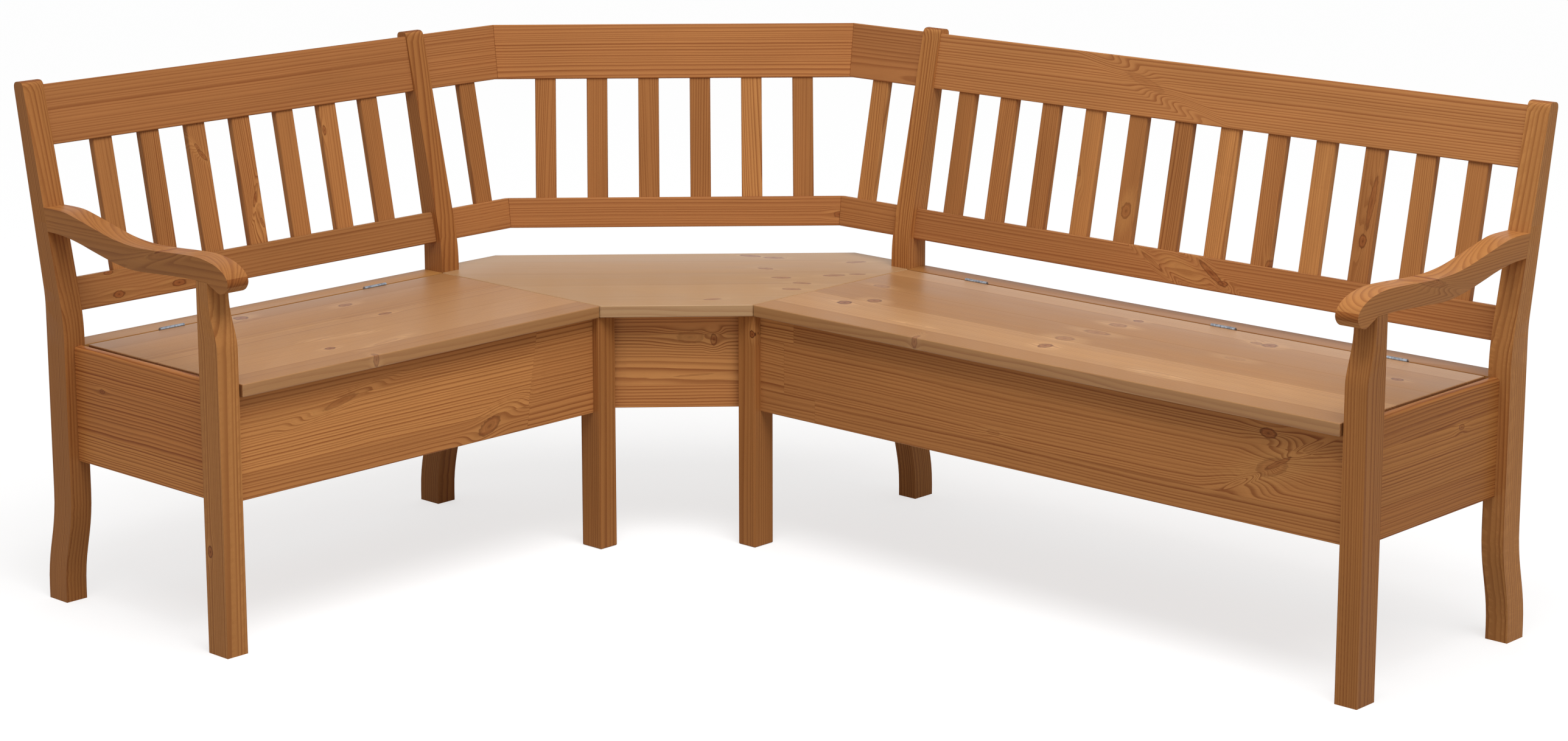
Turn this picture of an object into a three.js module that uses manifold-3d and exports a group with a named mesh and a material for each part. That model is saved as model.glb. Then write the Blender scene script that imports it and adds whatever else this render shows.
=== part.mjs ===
import * as THREE from 'three';
import { mergeVertices } from 'three/addons/utils/BufferGeometryUtils.js';
import Module from 'manifold-3d';

// Corner storage bench in pine, in millimetres with Z up.
// A short bench stands on the left, a long bench on the right, and a fixed corner seat
// fills the angle between them. Each bench is drawn in its own frame: X runs along it,
// the backs of its rear posts stand on Y = 0 and the sitter faces -Y. X = 0 is the point
// where the rear planes of both benches meet. The long bench lies on +X, and the short
// bench is drawn on -X and then turned a quarter turn.

const wasm = await Module();
wasm.setup();

// Plan of the whole bench
const longLength = 1986;
const shortLength = 1532;
const seatDepth = 480;
const cornerFront = 196;
const wingLength = 138;

// Heights: seat and box above the floor, the rest above the seat
const seatHeight = 460;
const boxBottom = 257;
const armClear = 174;
const armRise = 66;
const lowerRailClear = 56;
const postHead = 7.3;

// Timber sections
const postWidth = 42;
const postDepth = 50;
const legDepth = 50;
const seatThickness = 22;
const panelThickness = 20;
const apronThickness = 20;
const railThickness = 22;
const slatWidth = 40;
const slatThickness = 14;
const floorThickness = 8;

// Clearances
const fitGap = 0.3;
const lidEndGap = 4;
const junctionGap = 0.7;
const hingeGap = 4;

// Rear post: a foot that sweeps back, an upright stretch and a raked, tapered top
const footSweep = 26;
const footCurveBottom = 20;
const footCurveTop = 200;
const footHandleShares = [0.42, 0.56];
const frontBendStart = 10;
const frontBendLength = 130;
const frontBendSetback = 20.5;
const frontBendHandle = 48;
const frontRake = THREE.MathUtils.degToRad(12.6);
const rearBendClear = 82;
const rearBendLength = 40;
const postTopDepth = 26.4;
const topFrontRound = 9;
const topRearRound = 13;

// Front leg: upright to a little above the seat, then its front draws back to the arm
const lidOverhang = 4;
const legTaperLength = 95;
const legNeck = 19;
const legTaper = 20;
const legHandleShares = [0.3, 0.53];

// Backrest: rails and slats lie in one raked plane through the lower rail's top edge
const railRake = THREE.MathUtils.degToRad(11.15);
const lowerRailFront = 24;
const lowerRailWidth = 58;
const slatClear = 231;
const topRailWidth = 105;
const slatSetback = 4;
const slatHousing = 12;
const shortSlatCount = 7;
const shortSlatMargin = 107;
const longSlatCount = 12;
const longSlatMargin = 80;
const cornerSlatCount = 6;
const cornerSlatMargin = 73;
const wingSlatOffset = 96;
const cornerBackShift = 18;

// Box panels, set back from the faces of the legs
const frontPanelInset = 16;
const apronInset = 24;
const endPanelStep = 2;
const rearPanelInset = 6;
const endPanelRound = 7;
const floorRise = 8;
const floorGroove = 6;

// Joints cut in the wood
const tenonLength = 14;
const tenonThickness = 10;
const tenonShoulder = 10;
const tongueDepth = 10;
const tongueThickness = 8;
const apronTenon = 8;
const apronTenonSetback = 3;
const armTenonWidth = 20;
const armTenonHeight = 20;
const armTenonLength = 14;
const legTenonWidth = 20;
const legTenonDepth = 14;
const legTenonLength = 16;

// Armrest: its outline as shares of its reach from the rear plane and of its height
const armOverhang = 34;
const armNoseDrop = 14;
const armRearThickness = 40.5;
const armTopShares = [
  [0.118, 1.0], [0.196, 0.918], [0.284, 0.795], [0.402, 0.645], [0.51, 0.585],
  [0.627, 0.6], [0.745, 0.645], [0.843, 0.662], [0.922, 0.594], [0.971, 0.47],
  [0.994, 0.34], [1.0, 0.212], [0.99, 0.09], [0.973, 0.018], [0.953, 0.0],
  [0.931, 0.06], [0.906, 0.13],
];
const armUnderShares = [
  [0.784, 0.172], [0.667, 0.135], [0.569, 0.095], [0.49, 0.085], [0.392, 0.155],
  [0.294, 0.275], [0.206, 0.395], [0.118, 0.475],
];

// Hinges: butt hinges with leaves on the edges of lid and strip
const hingeLength = 52;
const hingeRise = 0.5;
const hingeRadius = 3.4;
const hingePinRadius = 1.4;
const hingeBoreGap = 0.3;
const leafThickness = 1.4;
const leafHeight = 15;
const knuckleCount = 5;
const knuckleGap = 0.3;
const barrelClearance = 0.6;
const shortHingeShares = [0.206, 0.776];
const longHingeShares = [0.135, 0.58, 0.858];

// Working allowances of the cutters
const overrun = 2;
const weld = 6;
const curveSteps = 10;
const armSteps = 4;
const roundSides = 20;

// Heights and depths that follow from the sizes above
const seatUnderside = seatHeight - seatThickness;
const benchStart = seatDepth + cornerFront;
const stripDepth = postDepth;
const lidRear = stripDepth + hingeGap;
const hingeAxisDepth = stripDepth + hingeGap / 2;
const hingeAxisHeight = seatHeight + hingeRise;
const legFront = seatDepth - lidOverhang;
const legRear = legFront - legDepth;
const frontPanelFront = legFront - frontPanelInset;
const frontPanelRear = frontPanelFront - panelThickness;
const rearPanelFront = rearPanelInset + panelThickness;
const cornerSide = benchStart - postWidth;
const dividerNear = benchStart - (postWidth + panelThickness) / 2;
const dividerFar = dividerNear + panelThickness;
const floorLow = boxBottom + floorRise;
const floorHigh = floorLow + floorThickness;
const panelTop = seatUnderside - fitGap;
const armUnderside = seatHeight + armClear;
const armTopHeight = armUnderside + armRise;
const armReach = legFront + armOverhang;
const legTaperTop = armUnderside - legNeck;
const legTaperBottom = legTaperTop - legTaperLength;
const diagonal = Math.SQRT2;
const cornerCut = cornerSide - wingLength;
const cornerFacetSetout = cornerCut / diagonal - cornerBackShift;
const lowerRailTop = seatHeight + lowerRailClear + lowerRailWidth;
const railsHeight = (slatClear + topRailWidth) * Math.cos(railRake);
const postTop = lowerRailTop + railsHeight + postHead;
const frontBendBottom = seatHeight + frontBendStart;
const frontBendTop = frontBendBottom + frontBendLength;
const rearBendHeight = seatHeight + rearBendClear;
const frontRakeStart = postDepth - frontBendSetback;

const pine = { color: 0xa66a3a, roughness: 0.42, metalness: 0 };
const pineTop = { color: 0xb88c64, roughness: 0.4, metalness: 0 };
const zinc = { color: 0x96a0aa, roughness: 0.35, metalness: 0.9 };

// Solid helpers

function toManifold(geometry) {
  const bare = geometry.clone();
  bare.deleteAttribute('normal');
  bare.deleteAttribute('uv');
  const merged = mergeVertices(bare);
  return new wasm.Manifold(new wasm.Mesh({
    numProp: 3,
    vertProperties: merged.attributes.position.array,
    triVerts: Uint32Array.from(merged.index.array),
  }));
}

function fromManifold(body) {
  const mesh = body.getMesh();
  const geometry = new THREE.BufferGeometry();
  geometry.setAttribute('position', new THREE.BufferAttribute(mesh.vertProperties, mesh.numProp));
  geometry.setIndex(new THREE.BufferAttribute(mesh.triVerts, 1));
  geometry.computeVertexNormals();
  return geometry;
}

function joined(first, ...others) {
  const body = others.reduce((sum, next) => sum.add(toManifold(next)), toManifold(first));
  return fromManifold(body);
}

function cut(first, ...tools) {
  const body = tools.reduce((rest, tool) => rest.subtract(toManifold(tool)), toManifold(first));
  return fromManifold(body);
}

// A box is written as its X, Y and Z ranges.
function block({ x, y, z }) {
  const geometry = new THREE.BoxGeometry(x[1] - x[0], y[1] - y[0], z[1] - z[0]);
  return geometry.translate((x[0] + x[1]) / 2, (y[0] + y[1]) / 2, (z[0] + z[1]) / 2);
}

function loosened({ x, y, z }, gap = fitGap) {
  const wider = ([low, high]) => [low - gap, high + gap];
  return { x: wider(x), y: wider(y), z: wider(z) };
}

// A range along a bench, given by distances from the corner.
function reach(side, near, far) {
  return side > 0 ? [near, far] : [-far, -near];
}

// A range of Y, given by distances in front of the rear plane.
function ahead(rear, front) {
  return [-front, -rear];
}

// An outline of forward distance and height, run along X.
function profile(shape, [low, high]) {
  const geometry = new THREE.ExtrudeGeometry(shape, {
    depth: high - low,
    bevelEnabled: false,
    curveSegments: curveSteps,
  });
  const forward = new THREE.Vector3(0, -1, 0);
  const up = new THREE.Vector3(0, 0, 1);
  const along = new THREE.Vector3(-1, 0, 0);
  geometry.applyMatrix4(new THREE.Matrix4().makeBasis(forward, up, along));
  return geometry.translate(high, 0, 0);
}

// A plan outline of X and Y, raised from one height to another.
function raised(points, [low, high]) {
  const shape = new THREE.Shape(points.map(([x, y]) => new THREE.Vector2(x, y)));
  const geometry = new THREE.ExtrudeGeometry(shape, { depth: high - low, bevelEnabled: false });
  return geometry.translate(0, 0, low);
}

// Even places from the first to the last
function spread(count, first, last) {
  const places = Array.from({ length: count }, (_, index) => index / (count - 1));
  return places.map((share) => first + (last - first) * share);
}

function rod(radius, [low, high], depth, height) {
  const geometry = new THREE.CylinderGeometry(radius, radius, high - low, roundSides);
  geometry.rotateZ(Math.PI / 2);
  return geometry.translate((low + high) / 2, -depth, height);
}

function addPiece(group, name, geometry, finish) {
  const mesh = new THREE.Mesh(geometry, new THREE.MeshStandardMaterial(finish));
  mesh.name = name;
  group.add(mesh);
  return mesh;
}

// The raked plane of the backrest: in it Z runs up the rake and Y runs through the rail
const rakedFrame = new THREE.Matrix4()
  .makeTranslation(0, -lowerRailFront, lowerRailTop)
  .multiply(new THREE.Matrix4().makeRotationX(-railRake));

function raked(geometry) {
  return geometry.clone().applyMatrix4(rakedFrame);
}

const lowerRailRange = [-lowerRailWidth, 0];
const topRailRange = [slatClear, slatClear + topRailWidth];
const slatRange = [-slatHousing, slatClear + slatHousing];
const slatFaces = [slatSetback, slatSetback + slatThickness];
const railTenonFaces = [
  (railThickness - tenonThickness) / 2,
  (railThickness + tenonThickness) / 2,
];

function railTenon([low, high], x) {
  return { x, y: railTenonFaces, z: [low + tenonShoulder, high - tenonShoulder] };
}

function slatBox(middle) {
  return {
    x: [middle - slatWidth / 2, middle + slatWidth / 2],
    y: slatFaces,
    z: slatRange,
  };
}

// Rear posts

function postFrontAt(height) {
  return frontRakeStart - Math.tan(frontRake) * (height - frontBendTop);
}

// The rear edge runs straight from its bend to a point behind the front's top corner.
const rearSlope = (postTopDepth - postFrontAt(postTop)) / (postTop - rearBendHeight);

function postRearAt(height) {
  return -rearSlope * (height - rearBendHeight);
}

function postShape() {
  const footRun = footCurveTop - footCurveBottom;
  const lowHandle = footCurveBottom + footRun * footHandleShares[0];
  const highHandle = footCurveBottom + footRun * footHandleShares[1];
  const frontFoot = postDepth - footSweep;
  const bendTopHandle = frontBendTop - frontBendHandle;
  const rearBendTop = rearBendHeight + rearBendLength / 2;
  const rearBendBottom = rearBendHeight - rearBendLength / 2;
  const frontCorner = postFrontAt(postTop);
  const rearCorner = postRearAt(postTop);
  const shape = new THREE.Shape();
  shape.moveTo(-footSweep, 0);
  shape.lineTo(frontFoot, 0);
  shape.lineTo(frontFoot, footCurveBottom);
  shape.bezierCurveTo(frontFoot, lowHandle, postDepth, highHandle, postDepth, footCurveTop);
  shape.lineTo(postDepth, frontBendBottom);
  shape.bezierCurveTo(
    postDepth, frontBendBottom + frontBendHandle,
    postFrontAt(bendTopHandle), bendTopHandle,
    frontRakeStart, frontBendTop,
  );
  shape.lineTo(postFrontAt(postTop - topFrontRound), postTop - topFrontRound);
  shape.quadraticCurveTo(frontCorner, postTop, frontCorner - topFrontRound, postTop);
  shape.lineTo(rearCorner + topRearRound, postTop);
  shape.quadraticCurveTo(
    rearCorner, postTop,
    postRearAt(postTop - topRearRound), postTop - topRearRound,
  );
  shape.lineTo(postRearAt(rearBendTop), rearBendTop);
  shape.quadraticCurveTo(0, rearBendHeight, 0, rearBendBottom);
  shape.lineTo(0, footCurveTop);
  shape.bezierCurveTo(0, highHandle, -footSweep, lowHandle, -footSweep, footCurveBottom);
  shape.closePath();
  return shape;
}

function railMortises(x) {
  return [lowerRailRange, topRailRange].map((range) => raked(block(loosened(railTenon(range, x)))));
}

// The tongue of a panel that runs along the bench, at the bench's inner or end side
function alongTongue(x, rear, top) {
  const middle = rear + panelThickness / 2;
  return {
    x,
    y: ahead(middle - tongueThickness / 2, middle + tongueThickness / 2),
    z: [boxBottom + tenonShoulder, top - tenonShoulder],
  };
}

// The tongue of a panel that runs from a rear post to a front leg
function acrossTongue(side, near, y, top) {
  const middle = near + panelThickness / 2;
  return {
    x: reach(side, middle - tongueThickness / 2, middle + tongueThickness / 2),
    y,
    z: [boxBottom + tenonShoulder, top - tenonShoulder],
  };
}

function armTenon(side, length) {
  const middle = length - postWidth / 2;
  const height = armTopHeight - armRearThickness / 2;
  const rear = postFrontAt(height) - armTenonLength;
  return {
    x: reach(side, middle - armTenonWidth / 2, middle + armTenonWidth / 2),
    y: ahead(rear, postFrontAt(height) + armTenonLength + weld),
    z: [height - armTenonHeight / 2, height + armTenonHeight / 2],
  };
}

function legTenon(side, length) {
  const middle = length - postWidth / 2;
  const depth = legRear + (legDepth - legTaper) / 2;
  return {
    x: reach(side, middle - legTenonWidth / 2, middle + legTenonWidth / 2),
    y: ahead(depth - legTenonDepth / 2, depth + legTenonDepth / 2),
    z: [armUnderside - fitGap - legTenonLength, armUnderside + legTenonLength],
  };
}

// Armrest

function armShape() {
  const low = armUnderside - armNoseDrop;
  const rise = armTopHeight - low;
  const at = ([along, up]) => new THREE.Vector2(armReach * along, low + rise * up);
  const rearTop = new THREE.Vector2(postFrontAt(armTopHeight) + fitGap, armTopHeight);
  const rearLow = armTopHeight - armRearThickness;
  const rearUnder = new THREE.Vector2(postFrontAt(rearLow) + fitGap, rearLow);
  const legSeatFront = new THREE.Vector2(legFront - legTaper - fitGap, armUnderside);
  const legSeatRear = new THREE.Vector2(legRear, armUnderside);
  const upper = new THREE.SplineCurve([rearTop, ...armTopShares.map(at), legSeatFront]);
  const under = new THREE.SplineCurve([legSeatRear, ...armUnderShares.map(at), rearUnder]);
  const upperSteps = armSteps * armTopShares.length;
  const underSteps = armSteps * armUnderShares.length;
  return new THREE.Shape([...upper.getPoints(upperSteps), ...under.getPoints(underSteps)]);
}

// Front legs

function endLegShape() {
  const top = armUnderside - fitGap;
  const run = legTaperTop - legTaperBottom;
  const narrow = legFront - legTaper;
  const shape = new THREE.Shape();
  shape.moveTo(legRear, 0);
  shape.lineTo(legFront, 0);
  shape.lineTo(legFront, legTaperBottom);
  shape.bezierCurveTo(
    legFront, legTaperBottom + run * legHandleShares[0],
    narrow, legTaperBottom + run * legHandleShares[1],
    narrow, legTaperTop,
  );
  shape.lineTo(narrow, top);
  shape.lineTo(legRear, top);
  shape.closePath();
  return shape;
}

// Apron under the corner seat, across the angle between the two inner front legs.
// The lines of its faces keep X minus Y constant.
const apronFrontLine = legFront - apronInset + cornerSide;

function apronPlan(frontLine, rearLine, end) {
  return [
    [frontLine - end, -end],
    [end, end - frontLine],
    [end, end - rearLine],
    [rearLine - end, -end],
  ];
}

const apronRearLine = apronFrontLine - apronThickness * diagonal;
const apronTenonFrontLine = apronFrontLine - apronTenonSetback * diagonal;
const apronTenonRearLine = apronTenonFrontLine - tongueThickness * diagonal;

// The slot that takes the apron's tenon, in the frame of either bench
function apronMortise(side) {
  const front = apronTenonFrontLine + fitGap * diagonal;
  const rear = apronTenonRearLine - fitGap * diagonal;
  const near = cornerSide - overrun;
  const far = cornerSide + apronTenon + fitGap;
  const plan = [
    [side * near, near - front],
    [side * far, far - front],
    [side * far, far - rear],
    [side * near, near - rear],
  ];
  return raised(plan, [boxBottom + tenonShoulder - fitGap, panelTop - tenonShoulder + fitGap]);
}

// One bench: posts, legs, rails, slats, box, strip, lid and hinges

function buildBench(name, side, length, slatCount, slatMargin, hingeShares) {
  const bench = new THREE.Group();
  const backrest = new THREE.Group();
  backrest.applyMatrix4(rakedFrame);
  bench.add(backrest);
  const endFace = length - postWidth;
  const endPanelNear = endFace + endPanelStep;
  const endPanelFar = endPanelNear + panelThickness;
  const clearRun = endFace - benchStart;
  const hingePlaces = hingeShares.map((share) => benchStart + clearRun * share);
  const lidNear = benchStart + junctionGap;
  const lidFar = endFace - lidEndGap;

  const innerTongueX = reach(side, benchStart - tongueDepth, benchStart + weld);
  const endTongueX = reach(side, endFace - weld, endFace + tongueDepth);
  const innerTenonX = reach(side, benchStart - tenonLength, benchStart + weld);
  const endTenonX = reach(side, endFace - weld, endFace + tenonLength);
  const postTongueY = ahead(postDepth - tongueDepth, postDepth + weld);
  const legTongueY = ahead(legRear - weld, legRear + tongueDepth);

  const endPost = cut(
    profile(postShape(), reach(side, endFace, length)),
    ...railMortises(endTenonX),
    block(loosened(alongTongue(endTongueX, rearPanelInset, panelTop))),
    block(loosened(acrossTongue(side, endPanelNear, postTongueY, seatHeight))),
    block(loosened(armTenon(side, length))),
  );
  addPiece(bench, `${name}_end_rear_post`, endPost, pine);

  const wingTenonX = reach(side, cornerSide - weld, cornerSide + tenonLength);
  const innerPost = cut(
    profile(postShape(), reach(side, cornerSide, benchStart)),
    ...railMortises(innerTenonX),
    ...railMortises(wingTenonX),
    block(loosened(alongTongue(innerTongueX, rearPanelInset, panelTop))),
    block(loosened(acrossTongue(side, dividerNear, postTongueY, panelTop))),
  );
  addPiece(bench, `${name}_inner_rear_post`, innerPost, pine);

  const endLeg = joined(
    cut(
      profile(endLegShape(), reach(side, endFace, length)),
      block(loosened(alongTongue(endTongueX, frontPanelRear, panelTop))),
      block(loosened(acrossTongue(side, endPanelNear, legTongueY, seatHeight))),
    ),
    block(legTenon(side, length)),
  );
  addPiece(bench, `${name}_end_front_leg`, endLeg, pine);

  const innerLeg = cut(
    block({
      x: reach(side, cornerSide, benchStart),
      y: ahead(legRear, legFront),
      z: [0, panelTop],
    }),
    block(loosened(alongTongue(innerTongueX, frontPanelRear, panelTop))),
    block(loosened(acrossTongue(side, dividerNear, legTongueY, panelTop))),
    apronMortise(side),
  );
  addPiece(bench, `${name}_inner_front_leg`, innerLeg, pine);

  const arm = cut(
    joined(
      profile(armShape(), reach(side, endFace, length)),
      block(armTenon(side, length)),
    ),
    block(loosened(legTenon(side, length))),
  );
  addPiece(bench, `${name}_arm`, arm, pine);

  // Rails with a tenon at each end and a housing for every slat
  const slats = spread(slatCount, benchStart + slatMargin, endFace - slatMargin)
    .map((place) => side * place);
  const housings = slats.map((place) => block(loosened(slatBox(place))));
  const rails = { lower_rail: lowerRailRange, top_rail: topRailRange };
  for (const [railName, range] of Object.entries(rails)) {
    const rail = joined(
      block({
        x: reach(side, benchStart + fitGap, endFace - fitGap),
        y: [0, railThickness],
        z: range,
      }),
      block(railTenon(range, innerTenonX)),
      block(railTenon(range, endTenonX)),
    );
    addPiece(backrest, `${name}_${railName}`, cut(rail, ...housings), pine);
  }
  slats.forEach((place, index) => {
    addPiece(backrest, `${name}_slat_${index + 1}`, block(slatBox(place)), pine);
  });

  // Box panels with a tongue at each end and a groove for the box floor
  const floorGrooveCutter = block(loosened({
    x: reach(side, dividerFar - floorGroove, endPanelNear + floorGroove),
    y: ahead(rearPanelFront - floorGroove, frontPanelRear + floorGroove),
    z: [floorLow, floorHigh],
  }));
  const runs = { front_panel: frontPanelRear, rear_panel: rearPanelInset };
  for (const [panelName, rear] of Object.entries(runs)) {
    const panel = joined(
      block({
        x: reach(side, benchStart + fitGap, endFace - fitGap),
        y: ahead(rear, rear + panelThickness),
        z: [boxBottom, panelTop],
      }),
      block(alongTongue(innerTongueX, rear, panelTop)),
      block(alongTongue(endTongueX, rear, panelTop)),
    );
    addPiece(bench, `${name}_${panelName}`, cut(panel, floorGrooveCutter), pine);
  }

  const divider = joined(
    block({
      x: reach(side, dividerNear, dividerFar),
      y: ahead(postDepth + fitGap, legRear - fitGap),
      z: [boxBottom, panelTop],
    }),
    block(acrossTongue(side, dividerNear, postTongueY, panelTop)),
    block(acrossTongue(side, dividerNear, legTongueY, panelTop)),
  );
  addPiece(bench, `${name}_divider`, cut(divider, floorGrooveCutter), pine);

  const endPanelShape = new THREE.Shape();
  const [low, high] = reach(side, endPanelNear, endPanelFar);
  endPanelShape.moveTo(low, boxBottom);
  endPanelShape.lineTo(high, boxBottom);
  endPanelShape.lineTo(high, seatHeight - endPanelRound);
  endPanelShape.quadraticCurveTo(high, seatHeight, high - endPanelRound, seatHeight);
  endPanelShape.lineTo(low + endPanelRound, seatHeight);
  endPanelShape.quadraticCurveTo(low, seatHeight, low, seatHeight - endPanelRound);
  endPanelShape.closePath();
  const endBoard = new THREE.ExtrudeGeometry(endPanelShape, {
    depth: legRear - postDepth - 2 * fitGap,
    bevelEnabled: false,
    curveSegments: curveSteps,
  });
  endBoard.rotateX(Math.PI / 2).translate(0, -postDepth - fitGap, 0);
  const endPanel = joined(
    endBoard,
    block(acrossTongue(side, endPanelNear, postTongueY, seatHeight)),
    block(acrossTongue(side, endPanelNear, legTongueY, seatHeight)),
  );
  addPiece(bench, `${name}_end_panel`, cut(endPanel, floorGrooveCutter), pine);

  // Box floor, held in the grooves and notched round the posts and legs
  const postNotches = [
    { x: reach(side, cornerSide, benchStart), y: ahead(0, postDepth) },
    { x: reach(side, endFace, length), y: ahead(0, postDepth) },
    { x: reach(side, cornerSide, benchStart), y: ahead(legRear, legFront) },
    { x: reach(side, endFace, length), y: ahead(legRear, legFront) },
  ];
  const floorBoard = cut(
    block({
      x: reach(side, dividerFar - floorGroove, endPanelNear + floorGroove),
      y: ahead(rearPanelFront - floorGroove, frontPanelRear + floorGroove),
      z: [floorLow, floorHigh],
    }),
    ...postNotches.map((notch) => block(loosened({ ...notch, z: [boxBottom, seatUnderside] }))),
  );
  addPiece(bench, `${name}_box_floor`, floorBoard, pine);

  // Strip and lid, with a pocket at every hinge for the barrel
  const barrelPockets = hingePlaces.map((place) => {
    const half = hingeLength / 2 + barrelClearance;
    const open = hingeRadius + barrelClearance;
    return block({
      x: reach(side, place - half, place + half),
      y: ahead(hingeAxisDepth - open, hingeAxisDepth + open),
      z: [hingeAxisHeight - open, hingeAxisHeight + open],
    });
  });
  const strip = block({
    x: reach(side, benchStart + fitGap, endFace - fitGap),
    y: ahead(0, stripDepth),
    z: [seatUnderside, seatHeight],
  });
  addPiece(bench, `${name}_hinge_strip`, cut(strip, ...barrelPockets), pineTop);
  const lid = block({
    x: reach(side, lidNear, lidFar),
    y: ahead(lidRear, seatDepth),
    z: [seatUnderside, seatHeight],
  });
  addPiece(bench, `${name}_lid`, cut(lid, ...barrelPockets), pineTop);

  hingePlaces.forEach((place, index) => {
    const label = `${name}_hinge_${index + 1}`;
    addPiece(bench, `${label}_fixed_leaf`, hingeLeaf(side * place, true), zinc);
    addPiece(bench, `${label}_moving_leaf`, hingeLeaf(side * place, false), zinc);
  });
  return bench;
}

// One half of a butt hinge: the fixed half holds the pin and the odd knuckles
function hingeLeaf(centre, fixed) {
  const start = centre - hingeLength / 2;
  const pitch = hingeLength / knuckleCount;
  const seatGap = (hingeGap / 2 - leafThickness) / 2;
  const inner = fixed ? stripDepth + seatGap : hingeAxisDepth + seatGap;
  const plateTop = hingeAxisHeight - hingeRadius - fitGap;
  const plate = block({
    x: [start, start + hingeLength],
    y: ahead(inner, inner + leafThickness),
    z: [plateTop - leafHeight, plateTop],
  });
  const parts = [];
  const bores = [];
  for (let index = 0; index < knuckleCount; index += 1) {
    if ((index % 2 === 0) !== fixed) continue;
    const x = [
      start + index * pitch + knuckleGap / 2,
      start + (index + 1) * pitch - knuckleGap / 2,
    ];
    const z = [plateTop - leafThickness, hingeAxisHeight];
    parts.push(block({ x, y: ahead(inner, inner + leafThickness), z }));
    parts.push(rod(hingeRadius, x, hingeAxisDepth, hingeAxisHeight));
    const bore = [x[0] - overrun, x[1] + overrun];
    bores.push(rod(hingePinRadius + hingeBoreGap, bore, hingeAxisDepth, hingeAxisHeight));
  }
  if (!fixed) return cut(joined(plate, ...parts), ...bores);
  const pinRange = [start + knuckleGap, start + hingeLength - knuckleGap];
  const pin = rod(hingePinRadius, pinRange, hingeAxisDepth, hingeAxisHeight);
  return joined(plate, ...parts, pin);
}

// Corner: backrest with three mitred faces, seat board and apron

// Distance from the corner, along a bench, at which the rail faces meet the middle face
function mitreAt(forward) {
  return diagonal * (cornerFacetSetout + forward) - forward;
}

// A mitred rail as four cross-sections joined by flat faces
function mitredRail([low, high]) {
  const section = [[0, low], [0, high], [railThickness, high], [railThickness, low]];
  const spots = section.map(([through, up]) => {
    const point = new THREE.Vector3(0, through, up).applyMatrix4(rakedFrame);
    return { forward: -point.y, height: point.z };
  });
  const end = cornerSide - fitGap;
  const stations = [
    ({ forward, height }) => [forward, -end, height],
    ({ forward, height }) => [forward, -mitreAt(forward), height],
    ({ forward, height }) => [mitreAt(forward), -forward, height],
    ({ forward, height }) => [end, -forward, height],
  ];
  const positions = stations.flatMap((place) => spots.flatMap(place));
  const count = section.length;
  const last = (stations.length - 1) * count;
  const index = [0, 1, 2, 0, 2, 3, last, last + 2, last + 1, last, last + 3, last + 2];
  for (let station = 0; station < stations.length - 1; station += 1) {
    for (let corner = 0; corner < count; corner += 1) {
      const a = station * count + corner;
      const b = station * count + (corner + 1) % count;
      index.push(a, b + count, b, a, a + count, b + count);
    }
  }
  const geometry = new THREE.BufferGeometry();
  geometry.setAttribute('position', new THREE.Float32BufferAttribute(positions, 3));
  geometry.setIndex(index);
  return geometry;
}

function buildCorner() {
  const corner = new THREE.Group();
  const leftTurn = new THREE.Matrix4().makeRotationZ(Math.PI / 2);
  const middleTurn = new THREE.Matrix4()
    .makeRotationZ(Math.PI / 4)
    .multiply(new THREE.Matrix4().makeTranslation(0, -cornerFacetSetout, 0));
  const tenons = [lowerRailRange, topRailRange].flatMap((range) => {
    const x = [cornerSide - weld, cornerSide + tenonLength];
    const right = raked(block(railTenon(range, x)));
    const left = raked(block(railTenon(range, [-x[1], -x[0]]))).applyMatrix4(leftTurn);
    return [left, right];
  });
  const wingPlace = cornerSide - wingSlatOffset;
  const slats = [
    raked(block(slatBox(-wingPlace))).applyMatrix4(leftTurn),
    raked(block(slatBox(wingPlace))),
  ];
  const facetLength = diagonal * (mitreAt(lowerRailFront) - lowerRailFront);
  const lastPlace = facetLength / 2 - cornerSlatMargin;
  spread(cornerSlatCount, -lastPlace, lastPlace).forEach((place) => {
    slats.push(raked(block(slatBox(place))).applyMatrix4(middleTurn));
  });
  const back = joined(
    mitredRail(lowerRailRange),
    mitredRail(topRailRange),
    ...tenons,
    ...slats,
  );
  addPiece(corner, 'corner_back', back, pine);

  // Seat board, notched round the inner rear posts
  const rim = benchStart - junctionGap;
  const notchDepth = postDepth + fitGap;
  const notchSide = cornerSide - fitGap;
  const half = [
    [cornerCut, 0],
    [notchSide, 0],
    [notchSide, -notchDepth],
    [rim, -notchDepth],
    [rim, -seatDepth],
  ];
  const mirrored = half.map(([x, y]) => [-y, -x]).reverse();
  const seat = raised([...half, ...mirrored], [seatUnderside, seatHeight]);
  addPiece(corner, 'corner_seat', seat, pineTop);

  const apronEnd = cornerSide - fitGap;
  const apron = joined(
    raised(apronPlan(apronFrontLine, apronRearLine, apronEnd), [boxBottom, panelTop]),
    raised(
      apronPlan(apronTenonFrontLine, apronTenonRearLine, cornerSide + apronTenon),
      [boxBottom + tenonShoulder, panelTop - tenonShoulder],
    ),
  );
  addPiece(corner, 'corner_apron', apron, pine);
  return corner;
}

const assembly = new THREE.Group();
const shortBench = buildBench(
  'left', -1, shortLength, shortSlatCount, shortSlatMargin, shortHingeShares,
);
shortBench.rotation.z = Math.PI / 2;
const longBench = buildBench(
  'right', 1, longLength, longSlatCount, longSlatMargin, longHingeShares,
);
assembly.add(shortBench, buildCorner(), longBench);

// The origin is on the floor, under the middle of the whole bench
assembly.updateMatrixWorld(true);
const bounds = new THREE.Box3().setFromObject(assembly, true);
const centre = bounds.getCenter(new THREE.Vector3());
assembly.position.set(-centre.x, -centre.y, 0);

export default assembly;
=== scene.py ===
"""Corner storage bench in lacquered pine: the visual model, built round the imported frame."""

import logging
import math
import zlib
from dataclasses import dataclass, field, replace
from enum import Enum

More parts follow.
